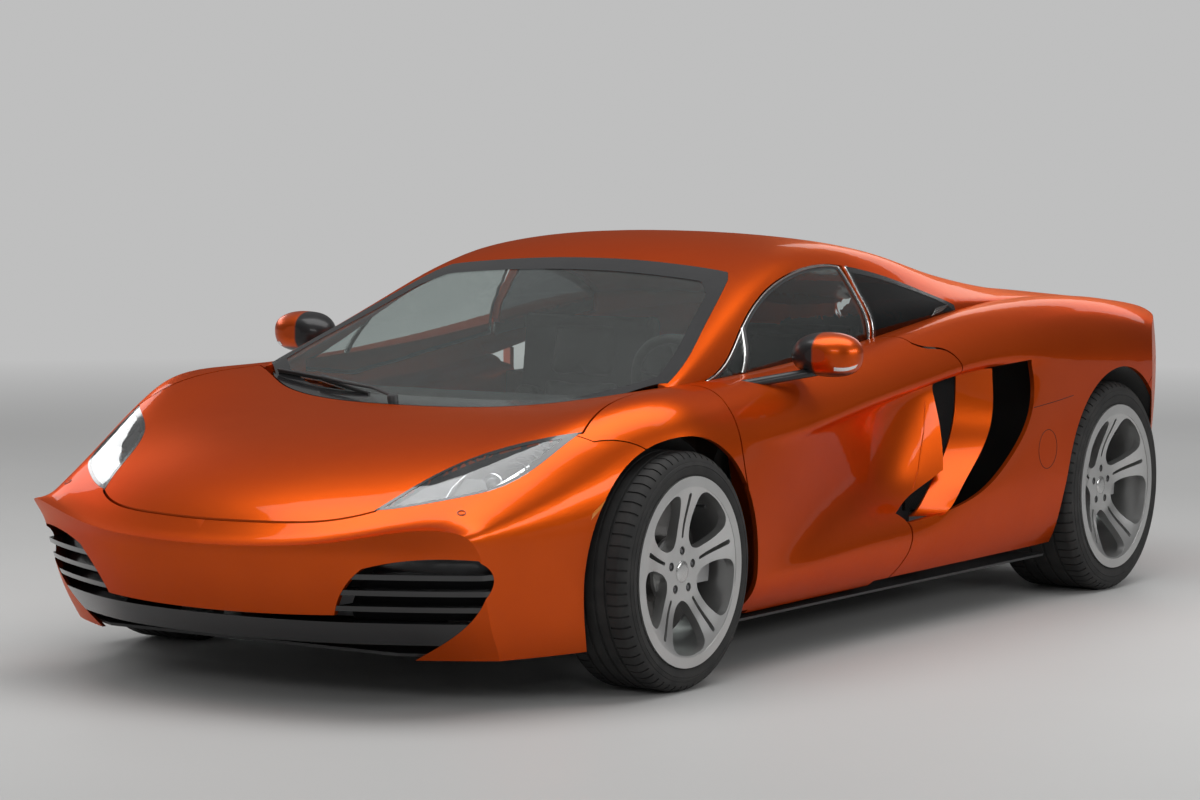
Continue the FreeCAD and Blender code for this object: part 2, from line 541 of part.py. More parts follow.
piece("bonnet", tidy(body_shell.common(bonnet_tool).cut(cabin)))

bumper_tool = prism(BUMPER_SHARES, side, 0, 2 * HALF_WIDTH, -fixed_gap / 2)
fender_tool = prism(FENDER_SHARES, side, 0, 2 * HALF_WIDTH, -fixed_gap / 2)
bumper_left = left_shell.common(bumper_tool).cut([bonnet_room, lamp_room, intake])
bumper_left = tidy(bumper_left)
piece("front_bumper", tidy(bumper_left.fuse(mirrored(bumper_left)).removeSplitter()))


lamp = tidy(body.common(lamp_tool).cut(body.translated(Vector(0, 0, -mm("lamp_depth")))))
piece("headlamps", both(lamp))

door_tool = prism(DOOR_SHARES, side, 0, 2 * HALF_WIDTH)
door_room = prism(DOOR_SHARES, side, 0, 2 * HALF_WIDTH, gap)
hole = prism(HOLE_SHARES, side, .6 * HALF_WIDTH, 2 * HALF_WIDTH)
door_core = body.translated(Vector(-mm("door_wall"), 0, 0)).common(body.translated(Vector(0, 0, -mm("door_wall"))))
door_full = body.common(door_tool).common(LEFT_HALF).cut(door_core)
door_frame = prism(DOOR_SHARES, side, 0, 2 * HALF_WIDTH, -mm("door_step"))
belt_zone = prism(DOOR_GLASS_SHARES, side, 0, 2 * HALF_WIDTH, -2 * gap)
door_left = tidy(door_full.cut([front_arch]).cut(body_core.cut(door_frame)))
door_left = tidy(door_left.cut(cabin_room.cut(belt_zone)).cut(cabin_seat))

scuttle_tool = prism(WINDSCREEN_SHARES, plan, .3 * HEIGHT, high, gap)
scuttle_room = prism(WINDSCREEN_SHARES, plan, .3 * HEIGHT, high, gap + fixed_gap)
piece("scuttle", tidy(body_shell.common(scuttle_tool).cut(cabin).cut(bonnet_room)))
fender = left_shell.common(fender_tool)
bumper_room = prism(BUMPER_SHARES, side, 0, 2 * HALF_WIDTH, fixed_gap / 2)
for room in (bonnet_room, lamp_room, door_room, scuttle_room, bumper_room):
    fender = fender.cut(room)
fender = tidy(fender)
piece("fenders", both(fender))

side_tool = prism(SIDE_WINDOW_SHARES, side, 0, 2 * HALF_WIDTH)
door_glass_tool = prism(DOOR_GLASS_SHARES, side, 0, 2 * HALF_WIDTH, -gap)
door_glass = tidy(glass_shell.common(LEFT_HALF).common(door_glass_tool))
piece("door_left", door_left)
piece("door_glass_left", door_glass)
piece("door_right", mirrored(door_left))
piece("door_glass_right", mirrored(door_glass))

cover_tool = prism(COVER_SHARES, plan, .5 * HEIGHT, high)
cover_room = prism(COVER_SHARES, plan, .5 * HEIGHT, high, seat_gap)
rear_window_tool = prism(REAR_WINDOW_SHARES, plan, .5 * HEIGHT, high, -seat_gap)
rear_window_room = prism(REAR_WINDOW_SHARES, plan, .5 * HEIGHT, high)
airbrake_tool = prism(AIRBRAKE_SHARES, plan, LID_FOOT_SHARE * HEIGHT, high)
airbrake_room = prism(AIRBRAKE_SHARES, plan, .5 * HEIGHT, high, gap)
windscreen_tool = prism(WINDSCREEN_SHARES, plan, .3 * HEIGHT, high, -seat_gap)
windscreen_room = prism(WINDSCREEN_SHARES, plan, .3 * HEIGHT, high)
grille_tool = prism(GRILLE_SHARES, front, .3 * LENGTH, LENGTH, -seat_gap)
grille_room = prism(GRILLE_SHARES, front, .3 * LENGTH, LENGTH)

quarter_tool = prism(QUARTER_SHARES, side, 0, 2 * HALF_WIDTH)
quarter = left_shell.common(quarter_tool).cut(door_room)
quarter = tidy(quarter.cut([hole, cover_room, airbrake_room, grille_room]))
piece("rear_quarters", tidy(quarter.fuse(mirrored(quarter)).removeSplitter()))

tail_zone = block(place(-1.3, .8, -.2), place(1.3, 1.2, .632))
rear_bumper = tidy(left_shell.common(tail_zone).cut(prism(QUARTER_SHARES, side, 0, 2 * HALF_WIDTH, fixed_gap)))
plate_low = Vector(-mm("plate_room_width") / 2, LENGTH / 2 - mm("plate_room_back"),
                   mm("plate_hole_height") - mm("plate_room_height") / 2)
plate_high = Vector(-plate_low.x, LENGTH, mm("plate_hole_height") + mm("plate_room_height") / 2)
plate_room = block(plate_low, plate_high)
pan_wall = Vector(1, 1, 1) * mm("plate_pan_wall")
plate_pan = block(plate_low - pan_wall, plate_high + pan_wall).common(body).common(LEFT_HALF).cut(plate_room)
rear_bumper = rear_bumper.cut(plate_room).fuse(plate_pan)
plate_hole = Part.makeCylinder(mm("plate_hole_radius"), LENGTH,
                               Vector(mm("plate_hole_spacing") / 2, REAR_AXLE_Y, mm("plate_hole_height")),
                               Vector(0, 1, 0))
rear_bumper = tidy(rear_bumper.cut([grille_room, airbrake_room, plate_hole]))
piece("rear_bumper", tidy(rear_bumper.fuse(mirrored(rear_bumper)).removeSplitter()))

skirt_cut = body.translated(Vector(0, 0, -mm("roof_skirt")))
roof = cabin_shell.common(LEFT_HALF).cut(skirt_cut).cut(block(place(-1, 0, 0), place(1, ROOF_START_SHARE, 1.5)))
pillar = roof.common(prism(PILLAR_SHARES, side, 0, 2 * HALF_WIDTH))
for room in (windscreen_room, side_tool, rear_window_room, cover_room, airbrake_room):
    roof = roof.cut(room)
roof = tidy(roof.fuse(pillar))
piece("roof", tidy(roof.fuse(mirrored(roof))))
piece("windscreen", tidy(glass_shell.common(windscreen_tool).cut(skirt_cut)))
piece("rear_window", tidy(glass_shell.common(rear_window_tool)))
quarter_glass_tool = prism(QUARTER_GLASS_SHARES, side, 0, 2 * HALF_WIDTH, -seat_gap)
quarter_glass = glass_shell.common(LEFT_HALF).common(quarter_glass_tool).cut(skirt_cut)
pillar_room = prism(PILLAR_SHARES, side, 0, 2 * HALF_WIDTH, seat_gap)
piece("quarter_windows", both(tidy(quarter_glass.cut(pillar_room))))
piece("engine_cover", tidy(cabin_shell.common(cover_tool)))
piece("airbrake", tidy(cabin_shell.common(airbrake_tool)))


def number(expression):
    """What an expression of named sizes comes to."""
    result = sheet.evalExpression(expression)
    return float(result.Value if hasattr(result, "Value") else result)


def at(item, x="0", y="0", z="0"):
    """Binds where an object stands to the named sizes."""
    for axis, expression in zip("xyz", (x, y, z)):
        item.setExpression("Placement.Base." + axis, expression)
    return item


def box(name, length, width, height, x="0", y="0", z="0"):
    """A box whose sizes and lowest corner are expressions of named sizes."""
    item = doc.addObject("Part::Box", name)
    for key, expression in (("Length", length), ("Width", width), ("Height", height)):
        item.setExpression(key, expression)
    return at(item, x, y, z)


TURNS = {"x": Rotation(Vector(0, 1, 0), 90), "y": Rotation(Vector(1, 0, 0), -90), "z": Rotation()}


def rod(name, radius, length, axis="z", x="0", y="0", z="0"):
    """A cylinder along an axis, whose sizes and start are expressions of named sizes."""
    item = doc.addObject("Part::Cylinder", name)
    item.setExpression("Radius", radius)
    item.setExpression("Height", length)
    item.Placement = Placement(Vector(0, 0, 0), TURNS[axis])
    return at(item, x, y, z)


def strut(name, radius, start, end):
    """A round bar between two points given as expressions."""
    a, b = Vector(*[number(e) for e in start]), Vector(*[number(e) for e in end])
    item = doc.addObject("Part::Cylinder", name)
    item.setExpression("Radius", radius)
    item.Height = (b - a).Length
    item.Placement = Placement(a, Rotation(Vector(0, 0, 1), b - a))
    return item


def boolean(kind, name, *items):
    """A cut, fuse or common of document objects."""
    item = doc.addObject({"cut": "Part::Cut", "fuse": "Part::MultiFuse", "common": "Part::MultiCommon"}[kind], name)
    if kind == "cut":
        item.Base, item.Tool = items
    else:
        item.Shapes = list(items)
    return item


def flipped(name, source):
    """The mirror image of an object on the other side of the car."""
    item = doc.addObject("Part::Mirroring", name)
    item.Source = source
    item.Normal = Vector(1, 0, 0)
    return item


def keep(name, item):
    """Names a finished sub-part, which gives its file its name."""
    item.Label = name
    pieces[name] = item
    return item


def polygon_sketch(body, name, plane, corners):
    """A closed sketch whose corners are bound to expressions of named sizes."""
    sketch = body.newObject("Sketcher::SketchObject", name)
    support = [f for f in body.Origin.OriginFeatures if f.Role == plane][0]
    sketch.AttachmentSupport = [(support, "")]
    sketch.MapMode = "FlatFace"
    points = [Vector(number(a), number(b), 0) for a, b in corners]
    count = len(points)
    for k in range(count):
        sketch.addGeometry(Part.LineSegment(points[k], points[(k + 1) % count]), False)
    for k in range(count):
        sketch.addConstraint(Sketcher.Constraint("Coincident", k, 2, (k + 1) % count, 1))
    for k, (a, b) in enumerate(corners):
        for kind, expression, value in (("DistanceX", a, points[k].x), ("DistanceY", b, points[k].y)):
            index = sketch.addConstraint(Sketcher.Constraint(kind, -1, 1, k, 1, value))
            sketch.setExpression("Constraints[%d]" % index, expression)
    return sketch


def revolved(name, corners):
    """A body of revolution about the car's width, from corners given as offset and radius."""
    body_item = doc.addObject("PartDesign::Body", name)
    sketch = polygon_sketch(body_item, name + "_profile", "XY_Plane", corners)
    turn = body_item.newObject("PartDesign::Revolution", name + "_turn")
    turn.Profile = sketch
    turn.ReferenceAxis = (sketch, ["H_Axis"])
    turn.Angle = 360
    return body_item


STEERING_SPOKE_TURNS = [-8, 188, 262]


def tyre(end):
    """A tyre about the origin, open to its beads."""
    r, w, bead = ["Sizes.%s_%s" % (end, word) for word in ("tyre_radius", "tyre_width", "bead_radius")]
    curve, wall = "Sizes.shoulder_radius", "Sizes.tyre_belt_wall"
    half = w + " / 2"
    foot = half + " - Sizes.sidewall_bulge - Sizes.seat_gap"
    right = [(foot, bead), (foot, "Sizes.%s_rim_radius + Sizes.seat_gap" % end), (half, "(%s + %s) / 2" % (r, bead)),
             ("%s - %s * 0.15" % (half, curve), "%s - %s" % (r, curve)),
             ("%s - %s * 0.5" % (half, curve), "%s - %s * 0.4" % (r, curve)),
             ("%s - %s * 1.3" % (half, curve), r)]
    inner = [("%s - %s" % (half, wall), "%s - %s" % (r, wall)), ("%s - %s" % (half, wall), bead)]
    left = [("-(%s)" % x, y) for x, y in reversed(right)]
    left_inner = [("-(%s)" % x, y) for x, y in reversed(inner)]
    return revolved(end + "_tyre", right + left + left_inner + inner)


def rim(end):
    """A five-double-spoke rim about the origin with its hub, brake bell and disc."""
    w, lip, bead = ["Sizes.%s_%s" % (end, word) for word in ("tyre_width", "rim_radius", "bead_radius")]
    edge = "%s / 2 - Sizes.sidewall_bulge" % w
    wall, step = "Sizes.rim_wall", "Sizes.rim_lip"
    seat = "%s - Sizes.seat_gap" % bead
    outer = [(edge, seat), (edge, lip), ("%s + %s" % (edge, wall), lip),
             ("%s + %s" % (edge, wall), "%s - %s" % (bead, step))]
    body_item = doc.addObject("PartDesign::Body", end + "_rim")
    corners = outer + [("-(%s)" % x, y) for x, y in reversed(outer)]
    barrel = polygon_sketch(body_item, end + "_barrel_profile", "XY_Plane", corners)
    turn = body_item.newObject("PartDesign::Revolution", end + "_barrel")
    turn.Profile = barrel
    turn.ReferenceAxis = (barrel, ["H_Axis"])
    turn.Angle = 360
    return body_item


def polar(radius, degrees):
    """A point of a wheel's face at a radius, turned from straight up."""
    return Rotation(Vector(1, 0, 0), degrees).multVec(Vector(0, 0, radius))


def wheel_window(reach, depth):
    """The tool for one window between two spokes, straight up."""
    right = [polar(reach * r, spread * 360 / SPOKE_COUNT) for r, spread in WINDOW_SHARES]
    left = [Vector(0, -point.y, point.z) for point in right[1:-1]]
    ring = Part.BSplineCurve()
    ring.interpolate(right + left[::-1], PeriodicFlag=True)
    return Part.Face(Part.Wire(ring.toShape())).extrude(Vector(depth, 0, 0))


def wheel_slot(reach, depth):
    """The tool for the slot along one spoke, straight up, wider at its outer end."""
    inner, outer = mm("spoke_slot_width") / 2, mm("spoke_slot_end_width") / 2
    low, tall = [reach * share for share in SLOT_REACH_SHARES]
    wire = Part.Wire([Part.makeLine(Vector(0, -inner, low), Vector(0, -outer, tall)),
                      Part.Arc(Vector(0, -outer, tall), Vector(0, 0, tall + outer), Vector(0, outer, tall)).toShape(),
                      Part.makeLine(Vector(0, outer, tall), Vector(0, inner, low)),
                      Part.Arc(Vector(0, inner, low), Vector(0, 0, low - inner), Vector(0, -inner, low)).toShape()])
    return Part.Face(wire).extrude(Vector(depth, 0, 0))


def wheel_face(end):
    """The dished face of a wheel: five broad spokes, each with a slot, and holes for the wheel nuts."""
    half = mm(end + "_tyre_width") / 2 - mm("sidewall_bulge") + mm("rim_wall")
    face = half - mm(end + "_hub_recess")
    reach = mm(end + "_bead_radius") - mm("rim_lip") / 2
    hub, depth = mm("hub_radius"), mm("spoke_depth")
    front_line, back_line = [], []
    for out, rise in DISH_SHARES:
        spot = Vector(face + (half - seat_gap - face) * rise, hub + (reach - hub) * out, 0)
        front_line.append(spot)
        back_line.append(Vector(spot.x - depth * (1 - SPOKE_THINNING_SHARE * out), spot.y, 0))
    front_curve, back_curve = Part.BSplineCurve(), Part.BSplineCurve()
    front_curve.interpolate(front_line)
    back_curve.interpolate(back_line[::-1])
    middle, behind = Vector(face, 0, 0), Vector(face - mm("hub_face_wall"), 0, 0)
    profile = Part.Wire([Part.makeLine(middle, front_line[0]), front_curve.toShape(),
                         Part.makeLine(front_line[-1], back_line[-1]), back_curve.toShape(),
                         Part.makeLine(back_line[0], behind), Part.makeLine(behind, middle)])
    dish = Part.Face(profile).revolve(Vector(0, 0, 0), Vector(1, 0, 0), 360)
    window, slot = wheel_window(reach, 2 * half), wheel_slot(reach, 2 * half)
    for k in range(SPOKE_COUNT):
        turn = 360 / SPOKE_COUNT * k
        nut_hole = Part.makeCylinder(mm("nut_hole_radius"), 2 * half,
                                     polar(mm("nut_circle_radius"), turn) + Vector(face - mm("nut_hole_depth"), 0, 0),
                                     Vector(1, 0, 0))
        for tool, offset in ((window, 360 / SPOKE_COUNT / 2), (slot, 0)):
            placed = tool.copy()
            placed.rotate(Vector(0, 0, 0), Vector(1, 0, 0), turn + offset)
            dish = dish.cut(placed)
        dish = dish.cut(nut_hole)
    return dish


def spoke_shape(end):
    """The face of a wheel with the brake bell and the disc behind it."""
    half = mm(end + "_tyre_width") / 2 - mm("sidewall_bulge") + mm("rim_wall")
    inboard = half - mm(end + "_hub_recess") - mm("hub_face_wall") - mm("bell_depth") - mm("disc_wall")
    start, out = Vector(inboard, 0, 0), Vector(1, 0, 0)
    bell = Part.makeCylinder(mm("bell_radius"), mm("bell_depth") + mm("disc_wall"), start, out)
    disc = Part.makeCylinder(mm(end + "_disc_radius"), mm("disc_wall"), start, out)
    bore = Part.makeCylinder(mm("column_radius") + mm("seat_gap"), mm("bell_depth") + mm("disc_wall"), start, out)
    return wheel_face(end).fuse([bell, disc]).cut(bore)


SPOKE_COUNT = 5
SPOKE_THINNING_SHARE = .3
SLOT_REACH_SHARES = (.40, .875)
# A window's edge from its inner end to its outer one: radius, and half its spread as a share of a fifth of a turn.
WINDOW_SHARES = [(.335, 0), (.35, .111), (.40, .229), (.50, .299), (.60, .328), (.70, .335), (.80, .328),
                 (.885, .305), (.937, .24), (.95, .12), (.953, 0)]
# How far the face has risen from the hub to the rim, at shares of the way out.
DISH_SHARES = [(0, 0), (.10, .01), (.30, .14), (.55, .45), (.80, .80), (1, 1)]

WHEELS = {"front": ("Sizes.front_overhang - Sizes.body_length / 2", "front"),
          "rear": ("Sizes.front_overhang + Sizes.wheelbase - Sizes.body_length / 2", "rear")}
for end, (y_place, _) in WHEELS.items():
    radius, track = "Sizes.%s_tyre_radius" % end, "Sizes.%s_track" % end
    spokes = doc.addObject("Part::Feature", end + "_spokes")
    spokes.Shape = spoke_shape(end)
    whole = boolean("fuse", end + "_wheel", rim(end), spokes)
    rubber = tyre(end)
    doc.recompute()
    for side_name, sign, turn in (("left", "", 0), ("right", "-", 180)):
        for word, source in (("tyre", rubber), ("rim", whole)):
            name = "%s_%s_%s" % (word, end, side_name)
            link = doc.addObject("Part::Feature", name)
            link.Shape = source.Shape
            link.Placement = Placement(Vector(0, 0, 0), Rotation(Vector(0, 0, 1), turn))
            keep(name, at(link, sign + track + " / 2", y_place, radius))

FRONT_Y, REAR_Y = WHEELS["front"][0], WHEELS["rear"][0]


def corner_frame(end):
    """Expressions for the places of a corner's pieces, outwards from the car's middle."""
    centre = "Sizes.%s_track / 2" % end
    face = "(%s + Sizes.%s_tyre_width / 2 - Sizes.sidewall_bulge + Sizes.rim_wall - Sizes.%s_hub_recess)" % (
        centre, end, end)
    disc_outer = "(%s - Sizes.hub_face_wall - Sizes.bell_depth)" % face
    disc_inner = "(%s - Sizes.disc_wall)" % disc_outer
    plate_outer = "(%s - Sizes.caliper_gap)" % disc_inner
    plate_inner = "(%s - Sizes.upright_wall)" % plate_outer
    return face, disc_outer, disc_inner, plate_outer, plate_inner


def upright(end, caliper_side):
    """The upright of a left wheel with its spindle, ball joints and caliper, as one solid."""
    face, disc_outer, disc_inner, plate_outer, plate_inner = corner_frame(end)
    y_place = WHEELS[end][0]
    z_place = "Sizes.%s_tyre_radius" % end
    disc = "Sizes.%s_disc_radius" % end
    plate = box(end + "_upright_plate", "Sizes.upright_wall", "Sizes.upright_width", "Sizes.upright_height",
                plate_inner, y_place + " - Sizes.upright_width / 2", z_place + " - Sizes.upright_height / 2")
    spindle = rod(end + "_spindle", "Sizes.column_radius", "%s - %s + Sizes.bell_depth" % (disc_outer, plate_outer),
                  "x", plate_outer, y_place, z_place)
    near, far = "%s * 0.55" % disc, "%s + Sizes.caliper_wall" % disc
    width = "(%s - %s)" % (far, near)
    low_y = ("%s + %s" % (y_place, near)) if caliper_side > 0 else ("%s - %s" % (y_place, far))
    outer = "(%s + Sizes.caliper_gap + Sizes.caliper_wall)" % disc_outer
    blank = box(end + "_caliper_blank", "%s - %s" % (outer, plate_inner), width, "Sizes.caliper_height", plate_inner,
                low_y, z_place + " - Sizes.caliper_height / 2")
    hoop = rod(end + "_caliper_round", "%s + Sizes.caliper_wall * 0.8" % disc, "%s - %s" % (outer, plate_inner), "x",
               plate_inner, y_place, z_place)
    slot = rod(end + "_caliper_slot", "%s + Sizes.caliper_gap" % disc,
               "Sizes.disc_wall + 2 * Sizes.caliper_gap", "x", plate_outer, y_place, z_place)
    caliper = boolean("cut", end + "_caliper", boolean("common", end + "_caliper_body", blank, hoop), slot)
    bridge = box(end + "_caliper_bracket", "Sizes.upright_wall", width + " + %s * 0.3" % disc,
                 "Sizes.caliper_height * 0.7", plate_inner,
                 low_y + (" - %s * 0.3" % disc if caliper_side > 0 else ""),
                 z_place + " - Sizes.caliper_height * 0.35")
    balls = []
    middle = "(%s + %s) / 2" % (plate_inner, plate_outer)
    for word, sign in (("upper", "+"), ("lower", "-")):
        ball = doc.addObject("Part::Sphere", "%s_%s_ball" % (end, word))
        ball.setExpression("Radius", "Sizes.ball_radius")
        height = "%s %s (Sizes.upright_height / 2 + Sizes.ball_radius * 0.7)" % (z_place, sign)
        balls.append(at(ball, middle, y_place, height))
    return boolean("fuse", end + "_upright", plate, spindle, caliper, bridge, *balls)


def wishbones(end):
    """The upper and lower wishbones of a left wheel, two solids."""
    face, disc_outer, disc_inner, plate_outer, plate_inner = corner_frame(end)
    y_place, z_place = WHEELS[end][0], "Sizes.%s_tyre_radius" % end
    middle = "(%s + %s) / 2" % (plate_inner, plate_outer)
    made = []
    for word, sign in (("upper", "+"), ("lower", "-")):
        height = "%s %s (Sizes.upright_height / 2 + Sizes.ball_radius * 0.7)" % (z_place, sign)
        inner_x = "(Sizes.beam_spacing / 2 + Sizes.beam_size / 2 + Sizes.bush_radius + Sizes.seat_gap)"
        parts = []
        cup = doc.addObject("Part::Sphere", "%s_%s_cup" % (end, word))
        cup.setExpression("Radius", "Sizes.ball_radius * 1.5")
        parts.append(at(cup, middle, y_place, height))
        for k, fore in enumerate(("-", "+")):
            end_y = "%s %s Sizes.arm_spread / 2" % (y_place, fore)
            parts.append(strut("%s_%s_arm_%d" % (end, word, k), "Sizes.arm_radius", (middle, y_place, height),
                               (inner_x, end_y, height)))
            parts.append(rod("%s_%s_bush_%d" % (end, word, k), "Sizes.bush_radius", "Sizes.bush_length", "y", inner_x,
                             end_y + " - Sizes.bush_length / 2", height))
        whole = boolean("fuse", "%s_%s_wishbone_whole" % (end, word), *parts)
        room = doc.addObject("Part::Sphere", "%s_%s_socket" % (end, word))
        room.setExpression("Radius", "Sizes.ball_radius + Sizes.seat_gap")
        at(room, middle, y_place, height)
        clear = rod("%s_%s_clear" % (end, word), "Sizes.upright_swing", "Sizes.upright_height + Sizes.seat_gap * 2",
                    "z", middle, y_place, z_place + " - Sizes.upright_height / 2 - Sizes.seat_gap")
        made.append(boolean("cut", "%s_%s_wishbone" % (end, word), whole,
                            boolean("fuse", "%s_%s_room" % (end, word), room, clear)))
    return made


knuckle = upright("front", 1)
rear_upright = upright("rear", 1)
keep("knuckle_front_left", knuckle)
keep("knuckle_front_right", flipped("knuckle_right", knuckle))
arms = wishbones("front") + wishbones("rear")
doc.recompute()
piece("rear_uprights", both(rear_upright.Shape))
piece("wishbones", both(Part.makeCompound([arm.Shape for arm in arms])))


inner_body = body_solid(mm("skin_wall") + seat_gap)
LEFT_WHEELHOUSES = [arch(mm("front_arch_radius") + mm("liner_wall") * 2 + gap, FRONT_AXLE_Y, mm("front_tyre_radius"),
                         mm("wheelhouse_inner")),
                    arch(mm("rear_arch_radius") + mm("liner_wall") * 2 + gap, REAR_AXLE_Y, mm("rear_tyre_radius"),
                         mm("wheelhouse_inner"))]
wheelhouses = both(Part.makeCompound(LEFT_WHEELHOUSES))

liners = []
for end, y_axle in (("front", FRONT_AXLE_Y), ("rear", REAR_AXLE_Y)):
    radius, height = mm(end + "_arch_radius") + mm("liner_wall"), mm(end + "_tyre_radius")
    drum = arch(radius + mm("liner_wall"), y_axle, height, mm("wheelhouse_inner"))
    drum = drum.cut(arch(radius, y_axle, height, mm("wheelhouse_inner") - over))
    drum = drum.common(block(Vector(0, y_axle - LENGTH, height * .7), Vector(mm(end + "_liner_outer"), y_axle + LENGTH, high)))
    liners.append(tidy(drum.common(inner_body)))
piece("wheel_arch_liners", both(Part.makeCompound(liners)))

tub_side = prism(TUB_SIDE_SHARES, side, -mm("tub_half_width"), mm("tub_half_width"))
cavity = prism([[(.300, .16)], [(.297, .7)], [(.552, .7)], [(.562, .16)]], side, -mm("cavity_half_width"),
               mm("cavity_half_width"))
tub = tub_side.cut(cavity).cut(wheelhouses)
door_opening = block(Vector(mm("cavity_half_width") - over, FRONT_AXLE_Y + mm("front_arch_radius") + mm("bulkhead_wall"),
                            mm("sill_height")),
                     Vector(HALF_WIDTH, (.535 - .5) * LENGTH, high))
tub = tub.cut(door_opening).cut(mirrored(door_opening))
floor_cut = block(place(-1.2, 0, -.5), Vector(HALF_WIDTH, LENGTH, mm("floor_height")))
piece("cabin_tub", tidy(tub.cut(floor_cut).common(inner_body.fuse(cabin_solid(mm("roof_wall") + seat_gap)))))
doc.recompute()


def frame_side(end, y_start, y_end):
    """The left side of a subframe: two long beams with posts between them."""
    z_place = "Sizes.%s_tyre_radius" % end
    reach = "(Sizes.upright_height / 2 + Sizes.ball_radius * 0.7)"
    x_place = "Sizes.beam_spacing / 2 - Sizes.beam_size / 2"
    parts = []
    length = "(%s) - (%s)" % (y_end, y_start)
    for word, sign in (("low", "-"), ("high", "+")):
        parts.append(box("%s_%s_beam" % (end, word), "Sizes.beam_size", length, "Sizes.beam_size", x_place, y_start,
                         "%s %s %s - Sizes.beam_size / 2" % (z_place, sign, reach)))
    for k, y_place in enumerate((y_start, WHEELS[end][0] + " - Sizes.beam_size / 2", y_end + " - Sizes.beam_size")):
        parts.append(box("%s_post_%d" % (end, k), "Sizes.beam_size", "Sizes.beam_size", "2 * " + reach, x_place, y_place,
                         "%s - %s" % (z_place, reach)))
    return boolean("fuse", end + "_frame_side", *parts)


def cross_beam(name, end, y_place, sign):
    """A beam across the car between the two sides of a subframe."""
    height = "Sizes.%s_tyre_radius %s (Sizes.upright_height / 2 + Sizes.ball_radius * 0.7)" % (end, sign)
    return box(name, "Sizes.beam_spacing", "Sizes.beam_size", "Sizes.beam_size", "-Sizes.beam_spacing / 2", y_place,
               height + " - Sizes.beam_size / 2")


tub_front = "Sizes.tub_front - Sizes.body_length / 2"
tub_rear = "Sizes.tub_rear - Sizes.body_length / 2"
front_start = FRONT_Y + " - Sizes.arm_spread / 2 - Sizes.beam_size * 1.5"
rear_end = REAR_Y + " + Sizes.arm_spread / 2 + Sizes.beam_size * 1.5"
front_side = frame_side("front", front_start, tub_front + " + Sizes.frame_overlap")
rear_side = frame_side("rear", tub_rear + " - Sizes.frame_overlap", rear_end)
front_frame = boolean("fuse", "front_frame", front_side, flipped("front_side_right", front_side),
                      cross_beam("front_cross", "front", front_start, "-"))
rear_frame = boolean("fuse", "rear_frame", rear_side, flipped("rear_side_right", rear_side),
                     cross_beam("rear_cross", "rear", rear_end + " - Sizes.beam_size", "-"),
                     cross_beam("rear_cross_high", "rear", rear_end + " - Sizes.beam_size", "+"))
doc.recompute()
tub_room = pieces["cabin_tub"].Shape
piece("subframes", Part.makeCompound(front_frame.Shape.cut(tub_room).Solids + rear_frame.Shape.cut(tub_room).Solids))

engine_block = box("engine_block", "Sizes.beam_spacing - Sizes.beam_size - 2 * Sizes.seat_gap", "Sizes.engine_length",
                   "Sizes.engine_height", "-(Sizes.beam_spacing - Sizes.beam_size) / 2 + Sizes.seat_gap",
                   tub_rear + " + Sizes.panel_gap", "Sizes.engine_base")
gearbox = box("gearbox_block", "Sizes.gearbox_width", "Sizes.gearbox_length", "Sizes.gearbox_height",
              "-Sizes.gearbox_width / 2", tub_rear + " + Sizes.panel_gap + Sizes.engine_length", "Sizes.engine_base")
keep("engine", boolean("fuse", "power_unit", engine_block, gearbox))

luggage_half = "(Sizes.beam_spacing / 2 - Sizes.beam_size / 2 - Sizes.seat_gap)"
trunk = box("luggage_outer", "2 * " + luggage_half,
            "Sizes.luggage_length", "Sizes.luggage_height", "-" + luggage_half,
            tub_front + " - Sizes.luggage_length - Sizes.panel_gap", "Sizes.luggage_floor")
trunk_room = box("luggage_inner", "2 * (%s - Sizes.luggage_wall)" % luggage_half,
                 "Sizes.luggage_length - 2 * Sizes.luggage_wall", "Sizes.luggage_height",
                 "-%s + Sizes.luggage_wall" % luggage_half,
                 tub_front + " - Sizes.luggage_length - Sizes.panel_gap + Sizes.luggage_wall",
                 "Sizes.luggage_floor + Sizes.luggage_wall")
keep("luggage_tub", boolean("cut", "luggage", trunk, trunk_room))

tray = block(Vector(-HALF_WIDTH, (.055 - .5) * LENGTH, mm("floor_height") - seat_gap - mm("tray_wall")),
             Vector(HALF_WIDTH, (.905 - .5) * LENGTH, mm("floor_height") - seat_gap))
tray = tidy(tray.common(inner_body).cut(wheelhouses))
ramp_run = [[(.70, .1245)], [(.70, .118)], [(.90, .118)], [(.9665, .2661)], [(.9615, .2699)], [(.90, .1245)]]
ramp = prism(ramp_run, side, -.53 * HALF_WIDTH, .53 * HALF_WIDTH)
JACK_PAD_SHARES = [.33, .60]
FIN_X_SHARES = [-.45, -.22, 0, .22, .45]
fin_run = [[(.905, .125)], [(.90, .11)], [(.9615, .14)], [(.9665, .2661)]]
fins = [prism(fin_run, side, x * HALF_WIDTH - mm("tray_wall") / 2, x * HALF_WIDTH + mm("tray_wall") / 2)
        for x in FIN_X_SHARES]
pads = [Part.makeCylinder(mm("jack_pad_radius"), mm("jack_pad_height"),
                          Vector(sign * mm("jack_pad_x"), (s - .5) * LENGTH,
                                 mm("floor_height") - seat_gap - mm("tray_wall") - mm("jack_pad_height")))
        for sign in (-1, 1) for s in JACK_PAD_SHARES]
tray = tray.fuse([ramp] + fins).common(inner_body.fuse(block(place(-.6, .68, .05), place(.6, .99, .4))))
piece("undertray", tidy(tray.fuse(pads)))


def nose_band(start, end_back):
    """What lies between two depths behind the nose face."""
    behind = body.common(end_solid(True, start)) if start else body
    return behind.cut(end_solid(True, end_back))


def slab(low_share, high_share, inner_share=0):
    """A level slice of the left half of the car."""
    return block(place(inner_share, -.2, low_share), place(1.1, .5, high_share))


